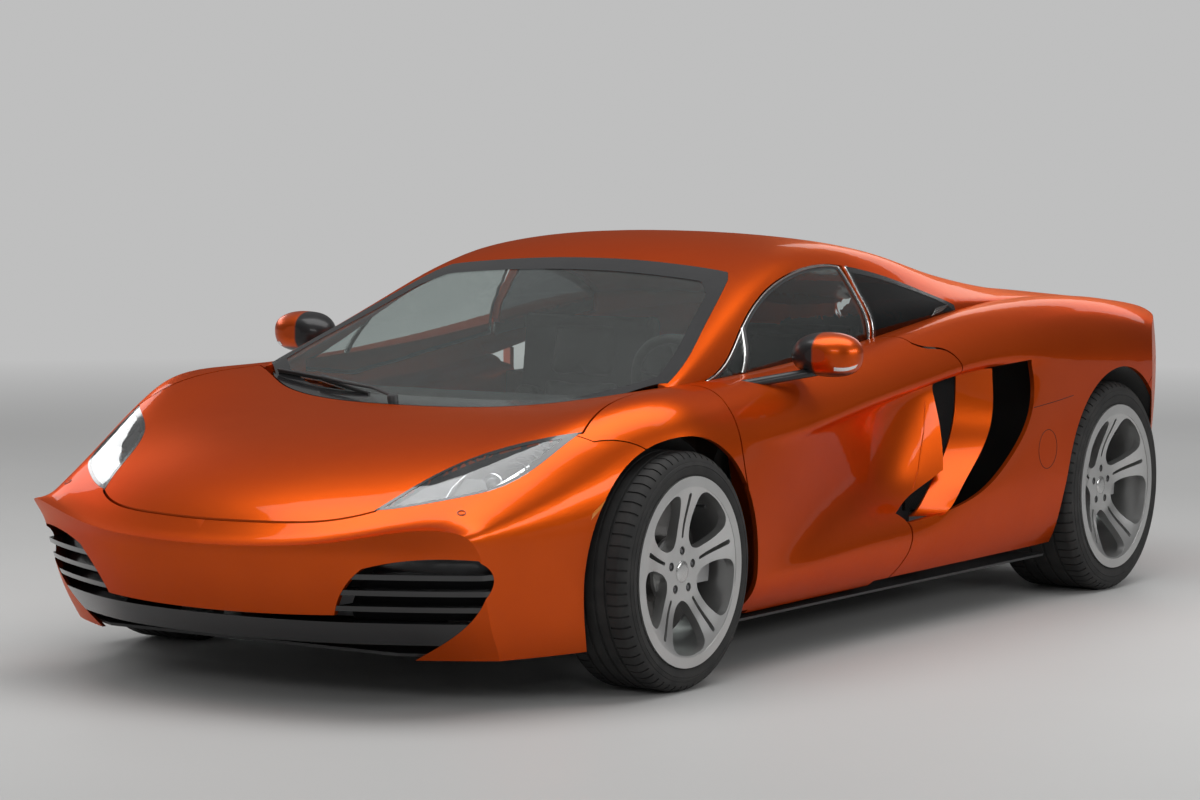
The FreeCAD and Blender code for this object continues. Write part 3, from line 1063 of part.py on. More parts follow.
intake_fit = prism(INTAKE_SHARES, front, -LENGTH, -.36 * LENGTH, -seat_gap)
splitter = nose_band(0, mm("splitter_depth")).common(block(place(-1, -.2, .146), place(1, .5, .196)))
piece("front_splitter", tidy(splitter.common(intake_fit)))
VANE_SHARES = [.222, .258, .294]
backing = nose_band(mm("vane_depth"), mm("vane_depth") + mm("mesh_wall")).common(slab(.198, .345, .405))
vanes = [nose_band(4 * seat_gap, mm("vane_depth")).common(slab(z, z + mm("vane_wall") / HEIGHT, .405))
         for z in VANE_SHARES]
grille = tidy(backing.fuse(vanes).common(intake_fit))
piece("front_grilles", both(grille))


def tail_band(start, end_back):
    """What lies between two depths ahead of the tail face."""
    ahead = body.common(end_solid(False, start)) if start else body
    return ahead.cut(end_solid(False, end_back))


lamp_band = mm("tail_lamp_band")
grille_core = prism(GRILLE_SHARES, front, .3 * LENGTH, LENGTH, -lamp_band)
pipes = []
for sign in (-1, 1):
    x = sign * mm("exhaust_spacing") / 2
    start = Vector(x, LENGTH / 2 - mm("exhaust_length"), mm("exhaust_height"))
    outer_pipe = Part.makeCylinder(mm("exhaust_radius"), mm("exhaust_length"), start, Vector(0, 1, 0))
    bore = Part.makeCylinder(mm("exhaust_radius") - mm("exhaust_wall"), mm("exhaust_length"), start, Vector(0, 1, 0))
    pipes.append(outer_pipe.cut(bore))
pipe_room = [Part.makeCylinder(mm("exhaust_radius") + seat_gap, LENGTH, Vector(s * mm("exhaust_spacing") / 2, 0,
                                                                             mm("exhaust_height")), Vector(0, 1, 0))
             for s in (-1, 1)]
piece("exhausts", Part.makeCompound(pipes))
rear_mesh = tail_band(mm("skin_wall"), mm("skin_wall") + mm("mesh_wall")).common(grille_tool)
lamp_arcs = tail_band(0, mm("skin_wall") - seat_gap).common(grille_tool).cut(grille_core)
lamp_arcs = lamp_arcs.cut(block(place(-.42, 0, 0), place(.42, 2, 1)))
piece("rear_grille", tidy(rear_mesh.cut(Part.makeCompound(pipe_room))))
piece("tail_lamps", lamp_arcs)

DASH_SHARES = [[(.303, .56), (.325, .60), (.352, .595)], [(.366, .565), (.368, .53)], [(.350, .44)], [(.303, .40)]]
dash_half = mm("cavity_half_width") - seat_gap
dash = prism(DASH_SHARES, side, -dash_half, dash_half).cut(tub)
wheel_turn = Rotation(Vector(1, 0, 0), -mm("column_lean_degrees"))
wheel_spot = Vector(mm("steering_x"), mm("steering_wheel_place") - LENGTH / 2, mm("steering_height"))
column_way = wheel_turn.multVec(Vector(0, 0, 1))
column = Part.makeCylinder(mm("column_radius"), mm("column_length"),
                           wheel_spot + column_way * (-mm("column_length") - mm("steering_hub_wall") - seat_gap),
                           column_way)
piece("dashboard", tidy(dash.fuse(column)))
ring = doc.addObject("Part::Torus", "steering_ring")
ring.setExpression("Radius1", "Sizes.steering_wheel_radius - Sizes.steering_rim_radius")
ring.setExpression("Radius2", "Sizes.steering_rim_radius")
hub = rod("steering_hub", "Sizes.steering_hub_radius", "Sizes.steering_hub_wall", "z", "0", "0",
          "-Sizes.steering_hub_wall")
bars = []
for k, turn in enumerate(STEERING_SPOKE_TURNS):
    bar = box("steering_spoke_%d" % k, "Sizes.steering_wheel_radius - Sizes.steering_rim_radius",
              "Sizes.steering_rim_radius * 2", "Sizes.steering_rim_radius * 0.9")
    bar.Placement = Placement(Vector(0, 0, 0), Rotation(Vector(0, 0, 1), turn))
    bars.append(bar)
steering = boolean("fuse", "steering_whole", ring, hub, *bars)
steering.Placement = Placement(wheel_spot, wheel_turn)
keep("steering_wheel", steering)

SEAT_SHARES = [
    [(.425, .166)], [(.418, .25), (.428, .285)], [(.47, .262), (.503, .262)], [(.522, .50), (.530, .72)],
    [(.533, .765), (.545, .762), (.549, .72)], [(.549, .40), (.546, .166)],
]
seat_half = mm("seat_width") / 2
seat = prism(SEAT_SHARES, side, mm("seat_spacing") / 2 - seat_half, mm("seat_spacing") / 2 + seat_half)
piece("seats", both(seat))

# A blade's sections from its top to its foot: height, then where its front and rear edges lie.
BLADE_SECTION_SHARES = [(.650, .588, .880, .606, .968), (.58, .588, .880, .607, .970), (.50, .583, .882, .603, .970),
                        (.42, .567, .886, .585, .968), (.35, .545, .893, .563, .966), (.292, .515, .905, .536, .966)]
sections = []
for z, s_front, x_front, s_rear, x_rear in BLADE_SECTION_SHARES:
    nose_edge, back_edge = place(x_front, s_front, z), place(x_rear, s_rear, z)
    chord = back_edge - nose_edge
    across = Vector(chord.y, -chord.x, 0)
    across.normalize()
    across = across * mm("blade_wall")
    sections.append(Part.makePolygon([nose_edge, back_edge, back_edge - across, nose_edge - across * .6, nose_edge]))
blade = Part.makeLoft(sections, True, False)
duct = prism([[(.575, .28)], [(.575, .64)], [(.66, .655)], [(.66, .40)], [(.62, .28)]], side,
             mm("duct_x"), mm("duct_x") + mm("mesh_wall"))
piece("side_blades", both(blade.cut(quarter)))
piece("side_ducts", both(duct.cut(quarter)))

mirror_x = mm("width_over_mirrors") / 2 - mm("mirror_span") / 2
mirror_y = mm("mirror_place") - LENGTH / 2
mirror_z = mm("mirror_top") - mm("mirror_height") / 2
rings = []
for depth_share, size_share in MIRROR_SECTION_SHARES:
    ring = Part.BSplineCurve()
    ring.interpolate([Vector(mirror_x + across * size_share * mm("mirror_span"),
                             mirror_y + depth_share * mm("mirror_depth"),
                             mirror_z + up * size_share * mm("mirror_height"))
                      for across, up in MIRROR_OUTLINE_SHARES], PeriodicFlag=True)
    rings.append(Part.Wire(ring.toShape()))
housing = Part.makeLoft(rings, True, False)
root = place(.80, .310, .655)
tip = Vector(mirror_x - mm("mirror_span") * .1, mirror_y - mm("mirror_depth") * .05,
             mm("mirror_top") - mm("mirror_height") * .88)
stalk = Part.makeCylinder(mm("mirror_stalk") / 2, (tip - root).Length, root, tip - root)
mirror = tidy(housing.fuse(stalk).cut(door_left).cut(door_glass))
piece("mirror_left", mirror)
piece("mirror_right", mirrored(mirror))
doc.recompute()


for item in doc.Objects:
    if "Invalid" in item.State or "Error" in item.State:
        raise RuntimeError("the object %s failed" % item.Name)
os.makedirs("parts", exist_ok=True)
for name, item in pieces.items():
    shape = item.Shape
    if shape.isNull() or not shape.isValid() or not shape.Solids:
        raise RuntimeError("the sub-part %s has no sound shape" % name)
for name, item in pieces.items():
    item.Shape.exportStep(os.path.join("parts", name + ".step"))
print("%d sub-parts written" % len(pieces))
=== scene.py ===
"""Looks of a low mid-engined sports car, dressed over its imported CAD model.

Lengths are metres in the car's own frame: +Z up, the nose towards -Y, its left side towards +X.
"""
import logging
import math
from dataclasses import dataclass, field
from enum import Enum
from typing import Callable, Optional, Sequence

import bmesh
import bpy
from mathutils import Matrix, Vector
from mathutils.bvhtree import BVHTree


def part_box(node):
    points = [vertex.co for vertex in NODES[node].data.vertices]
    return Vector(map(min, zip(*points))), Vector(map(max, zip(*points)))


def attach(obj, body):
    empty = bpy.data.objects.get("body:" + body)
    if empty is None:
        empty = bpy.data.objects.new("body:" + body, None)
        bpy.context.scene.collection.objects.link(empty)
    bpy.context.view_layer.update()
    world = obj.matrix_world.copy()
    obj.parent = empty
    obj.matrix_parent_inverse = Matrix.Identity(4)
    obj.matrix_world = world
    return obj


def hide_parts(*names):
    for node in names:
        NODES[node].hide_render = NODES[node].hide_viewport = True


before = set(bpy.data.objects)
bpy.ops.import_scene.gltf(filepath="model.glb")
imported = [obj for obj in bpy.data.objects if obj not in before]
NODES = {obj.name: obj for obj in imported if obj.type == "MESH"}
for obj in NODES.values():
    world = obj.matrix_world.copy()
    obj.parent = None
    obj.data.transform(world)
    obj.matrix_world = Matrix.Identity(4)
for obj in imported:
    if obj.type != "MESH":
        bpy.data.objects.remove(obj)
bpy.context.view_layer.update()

LOG = logging.getLogger("sports_car")
LENGTH, HALF_WIDTH, HEIGHT = 4.509, 0.9545, 1.199
Color = tuple[float, float, float]
Place = tuple[float, float, float]
Places = tuple[Place, ...]
Profile = tuple[tuple[float, float], ...]
MERGE_DISTANCE = 1e-5
SHORTEST_RING = 8


class Body(Enum):
    """The rigid bodies that the scene's own pieces ride on."""

    CHASSIS = "chassis"
    DOOR_LEFT = "door_left_body"
    DOOR_RIGHT = "door_right_body"
    STEERING_WHEEL = "steering_wheel"
    WHEEL_FRONT_LEFT = "wheel_front_left"
    WHEEL_FRONT_RIGHT = "wheel_front_right"
    WHEEL_REAR_LEFT = "wheel_rear_left"
    WHEEL_REAR_RIGHT = "wheel_rear_right"


def share(x: float, s: float, z: float) -> Vector:
    """A point from shares of half-width, length and height."""
    return Vector((x * HALF_WIDTH, (s - 0.5) * LENGTH, z * HEIGHT))


class Wiring:
    """Adds nodes to a shader tree and joins them."""

    def __init__(self, tree: bpy.types.NodeTree) -> None:
        """Keeps the tree that the nodes go into."""
        self.tree = tree

    def node(self, kind: str, **settings: object) -> bpy.types.Node:
        """Adds a node.

        Args:
            kind: Blender's name of the node's type.
            settings: attributes of the node.

        Returns:
            The new node.
        """
        made = self.tree.nodes.new(kind)
        for key, value in settings.items():
            setattr(made, key, value)
        return made

    def feed(self, socket: bpy.types.NodeSocket, source: object) -> None:
        """Joins another socket to a socket, or sets its value.

        Args:
            socket: the input that is fed.
            source: another node's output, or a plain value.
        """
        if isinstance(source, bpy.types.NodeSocket):
            self.tree.links.new(source, socket)
        else:
            socket.default_value = source

    def maths(self, operation: str, *sources: object) -> bpy.types.NodeSocket:
        """Adds a Math node.

        Args:
            operation: Blender's name of the sum.
            sources: its inputs, sockets or numbers.

        Returns:
            Its output.
        """
        made = self.node("ShaderNodeMath", operation=operation)
        for socket, source in zip(made.inputs, sources):
            self.feed(socket, source)
        return made.outputs[0]

    def blend(self, mask: object, low: object, high: object) -> bpy.types.NodeSocket:
        """Adds a mix of two colours.

        Args:
            mask: the second colour's share.
            low: the first colour.
            high: the second colour.

        Returns:
            The mixed colour's socket.
        """
        made = self.node("ShaderNodeMix", data_type="RGBA")
        self.feed(made.inputs["Factor"], mask)
        self.feed(made.inputs[6], low)
        self.feed(made.inputs[7], high)
        return made.outputs[2]

    def ramp(self, value: object, low: float, high: float, to_low: float = 0.0,
             to_high: float = 1.0) -> bpy.types.NodeSocket:
        """Brings a value from one range to another and holds it there.

        Args:
            value: the value.
            low: the range's start.
            high: the range's end.
            to_low: the new range's start.
            to_high: the new range's end.

        Returns:
            The new value's socket.
        """
        made = self.node("ShaderNodeMapRange")
        for key, source in (("Value", value), ("From Min", low), ("From Max", high), ("To Min", to_low),
                            ("To Max", to_high)):
            self.feed(made.inputs[key], source)
        return made.outputs[0]

    def where(self) -> bpy.types.NodeSocket:
        """The place on the object, in the car's frame."""
        return self.node("ShaderNodeTexCoord").outputs["Object"]

    def axes(self) -> list[bpy.types.NodeSocket]:
        """Splits the place on the object.

        Returns:
            Its parts along the three axes.
        """
        parts = self.node("ShaderNodeSeparateXYZ")
        self.feed(parts.inputs[0], self.where())
        return list(parts.outputs)

    def effect(self, tree: bpy.types.NodeTree, values: dict[str, object]) -> bpy.types.Node:
        """Adds a shared group.

        Args:
            tree: the group's tree.
            values: the values of its inputs by name.

        Returns:
            The group's node.
        """
        made = self.node("ShaderNodeGroup")
        made.node_tree = tree
        for key, value in values.items():
            made.inputs[key].default_value = value
        return made


class Effect:
    """A shader node group that several finishes use, built once."""

    PATCH_DETAIL = 4.0
    PATCH_EDGES = (0.35, 0.68)
    FINE_SHARE = 0.5
    TWILL_EDGE = 0.4
    built: dict[str, bpy.types.NodeTree] = {}

    @classmethod
    def open(cls, name: str, inputs: dict[str, object], outputs: dict[str, str]) -> tuple:
        """Starts a group with named sockets.

        Args:
            name: the group's name.
            inputs: each input's name with its first value: a number or a colour.
            outputs: each output's name with its socket type.

        Returns:
            The wiring, the group's input node and its output node.
        """
        tree = bpy.data.node_groups.new(name, "ShaderNodeTree")
        for key, value in inputs.items():
            kind = "NodeSocketFloat" if isinstance(value, float) else "NodeSocketColor"
            socket = tree.interface.new_socket(name=key, in_out="INPUT", socket_type=kind)
            socket.default_value = value if isinstance(value, float) else (*value, 1.0)
        for key, kind in outputs.items():
            tree.interface.new_socket(name=key, in_out="OUTPUT", socket_type=kind)
        wiring = Wiring(tree)
        cls.built[name] = tree
        return wiring, wiring.node("NodeGroupInput"), wiring.node("NodeGroupOutput")

    @classmethod
    def surface(cls) -> bpy.types.NodeTree:
        """Makes patches of a second colour, uneven gloss and a fine grain.

        Returns:
            The group's tree.
        """
        if "surface" in cls.built:
            return cls.built["surface"]
        w, inputs, outputs = cls.open(
            "surface", {"Color": (0.5, 0.5, 0.5), "Tint": (0.4, 0.4, 0.4), "Roughness": 0.5, "Spread": 0.1,
                        "Patch": 6.0, "Grain": 400.0},
            {"Color": "NodeSocketColor", "Roughness": "NodeSocketFloat", "Height": "NodeSocketFloat"})
        where = w.where()
        patches = w.node("ShaderNodeTexNoise")
        w.feed(patches.inputs["Vector"], where)
        w.feed(patches.inputs["Scale"], inputs.outputs["Patch"])
        w.feed(patches.inputs["Detail"], cls.PATCH_DETAIL)
        mask = w.ramp(patches.outputs[0], *cls.PATCH_EDGES)
        w.feed(outputs.inputs["Color"], w.blend(mask, inputs.outputs["Color"], inputs.outputs["Tint"]))
        swing = w.maths("MULTIPLY", w.maths("SUBTRACT", patches.outputs[0], 0.5), inputs.outputs["Spread"])
        w.feed(outputs.inputs["Roughness"], w.maths("ADD", inputs.outputs["Roughness"], swing))
        grain = w.node("ShaderNodeTexVoronoi", feature="SMOOTH_F1")
        w.feed(grain.inputs["Vector"], where)
        w.feed(grain.inputs["Scale"], inputs.outputs["Grain"])
        fine = w.node("ShaderNodeTexNoise")
        w.feed(fine.inputs["Vector"], where)
        w.feed(fine.inputs["Scale"], inputs.outputs["Grain"])
        finer = w.maths("MULTIPLY", fine.outputs[0], cls.FINE_SHARE)
        w.feed(outputs.inputs["Height"], w.maths("ADD", grain.outputs["Distance"], finer))
        return cls.built["surface"]

    @classmethod
    def weave(cls) -> bpy.types.NodeTree:
        """Makes a twill weave's mask and height.

        Returns:
            The group's tree.
        """
        if "weave" in cls.built:
            return cls.built["weave"]
        w, inputs, outputs = cls.open("weave", {"Threads": 300.0},
                                      {"Mask": "NodeSocketFloat", "Height": "NodeSocketFloat"})
        x, y, z = w.axes()
        across = w.maths("MULTIPLY", w.maths("ADD", x, z), inputs.outputs["Threads"])
        along = w.maths("MULTIPLY", w.maths("ADD", y, z), inputs.outputs["Threads"])
        twill = w.maths("SINE", w.maths("MULTIPLY", w.maths("ADD", across, along), math.pi))
        thread = w.maths("ABSOLUTE", w.maths("SINE", w.maths("MULTIPLY", across, math.pi * 2)))
        w.feed(outputs.inputs["Mask"], w.ramp(twill, -cls.TWILL_EDGE, cls.TWILL_EDGE))
        w.feed(outputs.inputs["Height"], w.maths("ADD", thread, twill))
        return cls.built["weave"]

    @classmethod
    def zone(cls) -> bpy.types.NodeTree:
        """Marks what lies beyond a place along the car's width, either side, or above a height.

        Returns:
            The group's tree.
        """
        if "zone" in cls.built:
            return cls.built["zone"]
        w, inputs, outputs = cls.open("zone", {"Width from": 0.0, "Height from": 0.0, "Edge": 0.004},
                                      {"Outside": "NodeSocketFloat", "Above": "NodeSocketFloat"})
        x, _, z = w.axes()
        away = w.maths("SUBTRACT", w.maths("ABSOLUTE", x), inputs.outputs["Width from"])
        above = w.maths("SUBTRACT", z, inputs.outputs["Height from"])
        for key, value in (("Outside", away), ("Above", above)):
            w.feed(outputs.inputs[key], w.ramp(w.maths("DIVIDE", value, inputs.outputs["Edge"]), -1.0, 1.0))
        return cls.built["zone"]


@dataclass(frozen=True)
class Finish:
    """A surface with its colour, gloss and grain."""

    name: str
    color: Color
    tint: Optional[Color] = None
    metallic: float = 0.0
    roughness: float = 0.5
    spread: float = 0.12
    patch: float = 7.0
    grain: float = 500.0
    depth: float = 0.00006
    strength: float = 0.6
    tint_share: float = 0.82
    coat: float = 0.0
    coat_roughness: float = 0.03
    sheen: float = 0.0
    specular: float = 0.5
    emission: float = 0.0

    def material(self) -> bpy.types.Material:
        """Makes the finish's material at its first use.

        Returns:
            The material.
        """
        known = bpy.data.materials.get(self.name)
        if known:
            return known
        made = bpy.data.materials.new(self.name)
        made.use_nodes = True
        made.diffuse_color = (*self.color, 1.0)
        w = Wiring(made.node_tree)
        self.wire(w, made.node_tree.nodes["Principled BSDF"])
        return made

    def surface(self, w: Wiring) -> bpy.types.Node:
        """Adds the surface group with this finish's own values.

        Args:
            w: the wiring of the material.

        Returns:
            The group's node.
        """
        tint = self.tint or tuple(c * self.tint_share for c in self.color)
        return w.effect(Effect.surface(), {
            "Color": (*self.color, 1.0), "Tint": (*tint, 1.0), "Roughness": self.roughness,
            "Spread": self.spread, "Patch": self.patch, "Grain": self.grain})

    def bump(self, w: Wiring, shader: bpy.types.Node, height: bpy.types.NodeSocket) -> None:
        """Feeds a height to the shader's normal.

        Args:
            w: the wiring of the material.
            shader: the material's shader.
            height: the height.
        """
        bump = w.node("ShaderNodeBump")
        bump.inputs["Distance"].default_value = self.depth
        bump.inputs["Strength"].default_value = self.strength
        w.feed(bump.inputs["Height"], height)
        w.feed(shader.inputs["Normal"], bump.outputs[0])

    def wire(self, w: Wiring, shader: bpy.types.Node) -> bpy.types.Node:
        """Sets the shader's sockets.

        Args:
            w: the wiring of the material.
            shader: the material's shader.

        Returns:
            The surface group's node.
        """
        group = self.surface(w)
        w.feed(shader.inputs["Base Color"], group.outputs["Color"])
        w.feed(shader.inputs["Roughness"], group.outputs["Roughness"])
        self.bump(w, shader, group.outputs["Height"])
        for key, value in (("Metallic", self.metallic), ("Coat Weight", self.coat),
                           ("Sheen Weight", self.sheen), ("Coat Roughness", self.coat_roughness),
                           ("Specular IOR Level", self.specular)):
            shader.inputs[key].default_value = value
        if self.emission:
            w.feed(shader.inputs["Emission Color"], group.outputs["Color"])
            shader.inputs["Emission Strength"].default_value = self.emission
        return group


@dataclass(frozen=True)
class MetallicPaint(Finish):
    """Lacquered paint with metal flakes."""

    slant_tint: Color = (1.0, 0.42, 0.16)
    flake_scale: float = 1400.0
    flake_gain: float = 1.35
    flake_share: float = 0.22
    flake_reach: float = 0.45
    flake_lift: float = 0.02

    def wire(self, w: Wiring, shader: bpy.types.Node) -> bpy.types.Node:
        """Adds the flakes to the colour.

        Args:
            w: the wiring of the material.
            shader: the material's shader.

        Returns:
            The surface group's node.
        """
        group = super().wire(w, shader)
        shader.inputs["Specular Tint"].default_value = (*self.slant_tint, 1.0)
        flakes = w.node("ShaderNodeTexVoronoi")
        w.feed(flakes.inputs["Vector"], w.where())
        flakes.inputs["Scale"].default_value = self.flake_scale
        glint = w.ramp(flakes.outputs["Distance"], 0.0, self.flake_reach, 1.0, 0.0)
        bright = tuple(min(1.0, c * self.flake_gain + self.flake_lift) for c in self.color)
        w.feed(shader.inputs["Base Color"],
               w.blend(w.maths("MULTIPLY", glint, self.flake_share), group.outputs["Color"], (*bright, 1.0)))
        return group


@dataclass(frozen=True)
class Glass(Finish):
    """Clear or tinted glass."""

    refraction: float = 1.45

    def wire(self, w: Wiring, shader: bpy.types.Node) -> bpy.types.Node:
        """Sets a plain clear shader with a trace of uneven gloss.

        Args:
            w: the wiring of the material.
            shader: the material's shader.

        Returns:
            The surface group's node.
        """
        group = self.surface(w)
        w.feed(shader.inputs["Base Color"], group.outputs["Color"])
        w.feed(shader.inputs["Roughness"], group.outputs["Roughness"])
        shader.inputs["Transmission Weight"].default_value = 1.0
        shader.inputs["IOR"].default_value = self.refraction
        shader.inputs["Metallic"].default_value = 0.0
        return group


@dataclass(frozen=True)
class TwoTone(Finish):
    """Paint that turns to plain black inside a width and below a height."""

    width_from: float = 0.0
    height_from: float = 0.0
    other: Color = (0.012, 0.012, 0.013)
    other_coat: float = 0.25

    def wire(self, w: Wiring, shader: bpy.types.Node) -> bpy.types.Node:
        """Blends the two colours and their gloss by place.

        Args:
            w: the wiring of the material.
            shader: the material's shader.

        Returns:
            The surface group's node.
        """
        group = super().wire(w, shader)
        zone = w.effect(Effect.zone(), {"Width from": self.width_from, "Height from": self.height_from})
        mask = w.maths("MULTIPLY", zone.outputs["Outside"], zone.outputs["Above"])
        w.feed(shader.inputs["Base Color"], w.blend(mask, (*self.other, 1.0), group.outputs["Color"]))
        w.feed(shader.inputs["Metallic"], w.maths("MULTIPLY", mask, self.metallic))
        w.feed(shader.inputs["Coat Weight"], w.ramp(mask, 0.0, 1.0, self.other_coat, self.coat))
        return group


@dataclass(frozen=True)
class Woven(Finish):
    """A twill of fibres under lacquer or a coarse cloth."""

    threads: float = 260.0
    thread: Color = (0.05, 0.05, 0.055)

    def wire(self, w: Wiring, shader: bpy.types.Node) -> bpy.types.Node:
        """Adds the weave to the colour and the height.

        Args:
            w: the wiring of the material.
            shader: the material's shader.

        Returns:
            The surface group's node.
        """
        group = super().wire(w, shader)
        weave = w.effect(Effect.weave(), {"Threads": self.threads})
        w.feed(shader.inputs["Base Color"],
               w.blend(weave.outputs["Mask"], group.outputs["Color"], (*self.thread, 1.0)))
        self.bump(w, shader, weave.outputs["Height"])
        return group


@dataclass(frozen=True)
class Perforated(Finish):
    """A mesh of small holes, with painted shade in its holes."""

    holes: float = 90.0
    # near-black painted shade that fills each hole in place of the dark space behind the mesh
    hole_shade_color: Color = (0.002, 0.002, 0.002)
    hole_edges: tuple[float, float] = (0.22, 0.34)

    def wire(self, w: Wiring, shader: bpy.types.Node) -> bpy.types.Node:
        """Adds the pattern of holes seen along the car and from its sides, with painted shade in the holes.

        Args:
            w: the wiring of the material.
            shader: the material's shader.

        Returns:
            The surface group's node.
        """
        group = super().wire(w, shader)
        x, y, z = w.axes()
        across = w.maths("ADD", x, y)
        first = w.maths("MULTIPLY", w.maths("ADD", across, z), self.holes * math.pi)
        second = w.maths("MULTIPLY", w.maths("SUBTRACT", across, z), self.holes * math.pi)
        grid = w.maths("MULTIPLY", w.maths("ABSOLUTE", w.maths("SINE", first)),
                       w.maths("ABSOLUTE", w.maths("SINE", second)))
        hole_and_shade = w.ramp(grid, *self.hole_edges)
        # Painted shade: the hole mask turns the colour near-black where the holes are, instead of opening
        # them; the same mask gives the holes' real relief in the bump.
        w.feed(shader.inputs["Base Color"], w.blend(hole_and_shade, group.outputs["Color"], (*self.hole_shade_color, 1.0)))
        self.bump(w, shader, w.maths("SUBTRACT", 1.0, hole_and_shade))
        return group


@dataclass(frozen=True)
class TurnedMetal(Finish):
    """Metal with rings round an axle, and a steel disc inside a given width."""

    axle_y: float = 0.0
    axle_z: float = 0.0
    disc_inside: float = 0.0
    disc_edge: float = 0.001
    disc_radii: tuple[float, float] = (0.19, 0.192)
    disc_color: Color = (0.17, 0.165, 0.16)
    rings: float = 2600.0

    def wire(self, w: Wiring, shader: bpy.types.Node) -> bpy.types.Node:
        """Adds fine rings, and the darker disc behind the face.

        Args:
            w: the wiring of the material.
            shader: the material's shader.

        Returns:
            The surface group's node.
        """
        group = super().wire(w, shader)
        x, y, z = w.axes()
        up, fore = w.maths("SUBTRACT", z, self.axle_z), w.maths("SUBTRACT", y, self.axle_y)
        square = w.maths("ADD", w.maths("MULTIPLY", up, up), w.maths("MULTIPLY", fore, fore))
        radius = w.maths("SQRT", square)
        rings = w.maths("SINE", w.maths("MULTIPLY", radius, self.rings))
        inside = w.ramp(w.maths("ABSOLUTE", x), self.disc_inside - self.disc_edge,
                        self.disc_inside + self.disc_edge, 1.0, 0.0)
        small = w.maths("MULTIPLY", inside, w.ramp(radius, *self.disc_radii, 1.0, 0.0))
        w.feed(shader.inputs["Base Color"], w.blend(small, group.outputs["Color"], (*self.disc_color, 1.0)))
        self.bump(w, shader, w.maths("ADD", group.outputs["Height"], w.maths("MULTIPLY", rings, small)))
        return group


PAINT_COLORS = ((0.62, 0.080, 0.004), (0.57, 0.070, 0.003))
PAINT_LOOK = {"metallic": 0.88, "roughness": 0.36, "spread": 0.05, "patch": 3.0, "grain": 1600.0,
              "depth": 0.00001, "coat": 0.22, "specular": 0.3}
PAINT = MetallicPaint("orange_metallic_paint", *PAINT_COLORS, **PAINT_LOOK)
MIRROR_PAINT = TwoTone("mirror_two_tone", *PAINT_COLORS, **PAINT_LOOK, width_from=0.930, height_from=0.826)
GLOSS_BLACK = Finish("gloss_black", (0.010, 0.010, 0.011), (0.014, 0.014, 0.015), roughness=0.16,
                     spread=0.08, coat=0.6, depth=0.00001)
SATIN_BLACK = Finish("satin_black_plastic", (0.022, 0.022, 0.023), (0.030, 0.030, 0.031), roughness=0.45,
                     grain=900.0, depth=0.00012)
LINER_BLACK = Finish("wheel_arch_felt", (0.012, 0.012, 0.012), (0.020, 0.019, 0.018), roughness=0.92,
                     grain=700.0, depth=0.0006, sheen=0.15)
BLACK_MESH = Perforated("black_mesh", (0.035, 0.035, 0.036), roughness=0.4, depth=0.002)
SCREEN_GLASS = Glass("windscreen_glass", (0.74, 0.80, 0.78), (0.72, 0.78, 0.76), roughness=0.0, spread=0.01)
SIDE_GLASS = Glass("side_glass", (0.62, 0.67, 0.66), (0.60, 0.65, 0.64), roughness=0.0, spread=0.01)
DARK_GLASS = Glass("dark_glass", (0.10, 0.11, 0.115), (0.09, 0.10, 0.105), roughness=0.0, spread=0.01)
LAMP_GLASS = Glass("lamp_glass", (0.88, 0.90, 0.91), (0.85, 0.87, 0.88), roughness=0.0, spread=0.01)
SILVER_COLORS = ((0.55, 0.55, 0.545), (0.50, 0.50, 0.495))
SILVER_LOOK = {"metallic": 0.85, "roughness": 0.30, "spread": 0.08, "grain": 1500.0, "depth": 0.00003,
               "coat": 0.25}
SILVER_FRONT = TurnedMetal("silver_wheel_front", *SILVER_COLORS, **SILVER_LOOK, axle_y=-1.3045,
                           axle_z=0.3235, disc_inside=0.870)
SILVER_REAR = TurnedMetal("silver_wheel_rear", *SILVER_COLORS, **SILVER_LOOK, axle_y=1.3655,
                          axle_z=0.3455, disc_inside=0.840)
CAST_ALLOY = Finish("cast_alloy", (0.42, 0.42, 0.43), (0.33, 0.33, 0.34), metallic=0.8, roughness=0.5,
                    grain=600.0, depth=0.0003)
CALIPER = Finish("caliper_silver", (0.50, 0.50, 0.50), (0.44, 0.44, 0.44), metallic=0.5, roughness=0.4)
RUBBER = Finish("tyre_rubber", (0.018, 0.018, 0.018), (0.030, 0.029, 0.028), roughness=0.78, patch=18.0,
                grain=900.0, depth=0.0002, specular=0.35)
CARBON = Woven("tub_carbon", (0.018, 0.018, 0.020), roughness=0.4, coat=0.4, threads=220.0)
STEEL = Finish("bright_trim", (0.62, 0.62, 0.61), (0.55, 0.55, 0.54), metallic=1.0, roughness=0.22,
               spread=0.1, grain=1200.0)
EXHAUST = Finish("exhaust_steel", (0.50, 0.47, 0.43), (0.34, 0.29, 0.27), metallic=1.0, roughness=0.32,
                 patch=22.0)
ENGINE = Finish("engine_cast", (0.26, 0.26, 0.27), (0.18, 0.18, 0.18), metallic=0.7, roughness=0.55,
                grain=500.0, depth=0.0004)
LEATHER = Finish("black_leather", (0.020, 0.019, 0.019), (0.028, 0.027, 0.026), roughness=0.52, grain=650.0,
                 depth=0.0004, sheen=0.1)
SOFT_PLASTIC = Finish("soft_black_dash", (0.016, 0.016, 0.017), (0.022, 0.022, 0.023), roughness=0.62,
                      grain=800.0, depth=0.0003)
RED_LENS = Finish("red_lens", (0.30, 0.006, 0.006), (0.24, 0.004, 0.004), roughness=0.18, coat=1.0,
                  grain=260.0, depth=0.0006)
AMBER = Finish("amber_lens", (0.72, 0.22, 0.02), (0.60, 0.17, 0.015), roughness=0.2, coat=1.0, grain=320.0,
               depth=0.0006)
CHROME = Finish("reflector_chrome", (0.82, 0.82, 0.83), (0.76, 0.76, 0.77), metallic=1.0, roughness=0.08,
                spread=0.04, grain=300.0, depth=0.0001)
NUT_STEEL = Finish("dark_nut_steel", (0.16, 0.16, 0.165), (0.12, 0.12, 0.125), metallic=1.0, roughness=0.38,
                   grain=900.0)
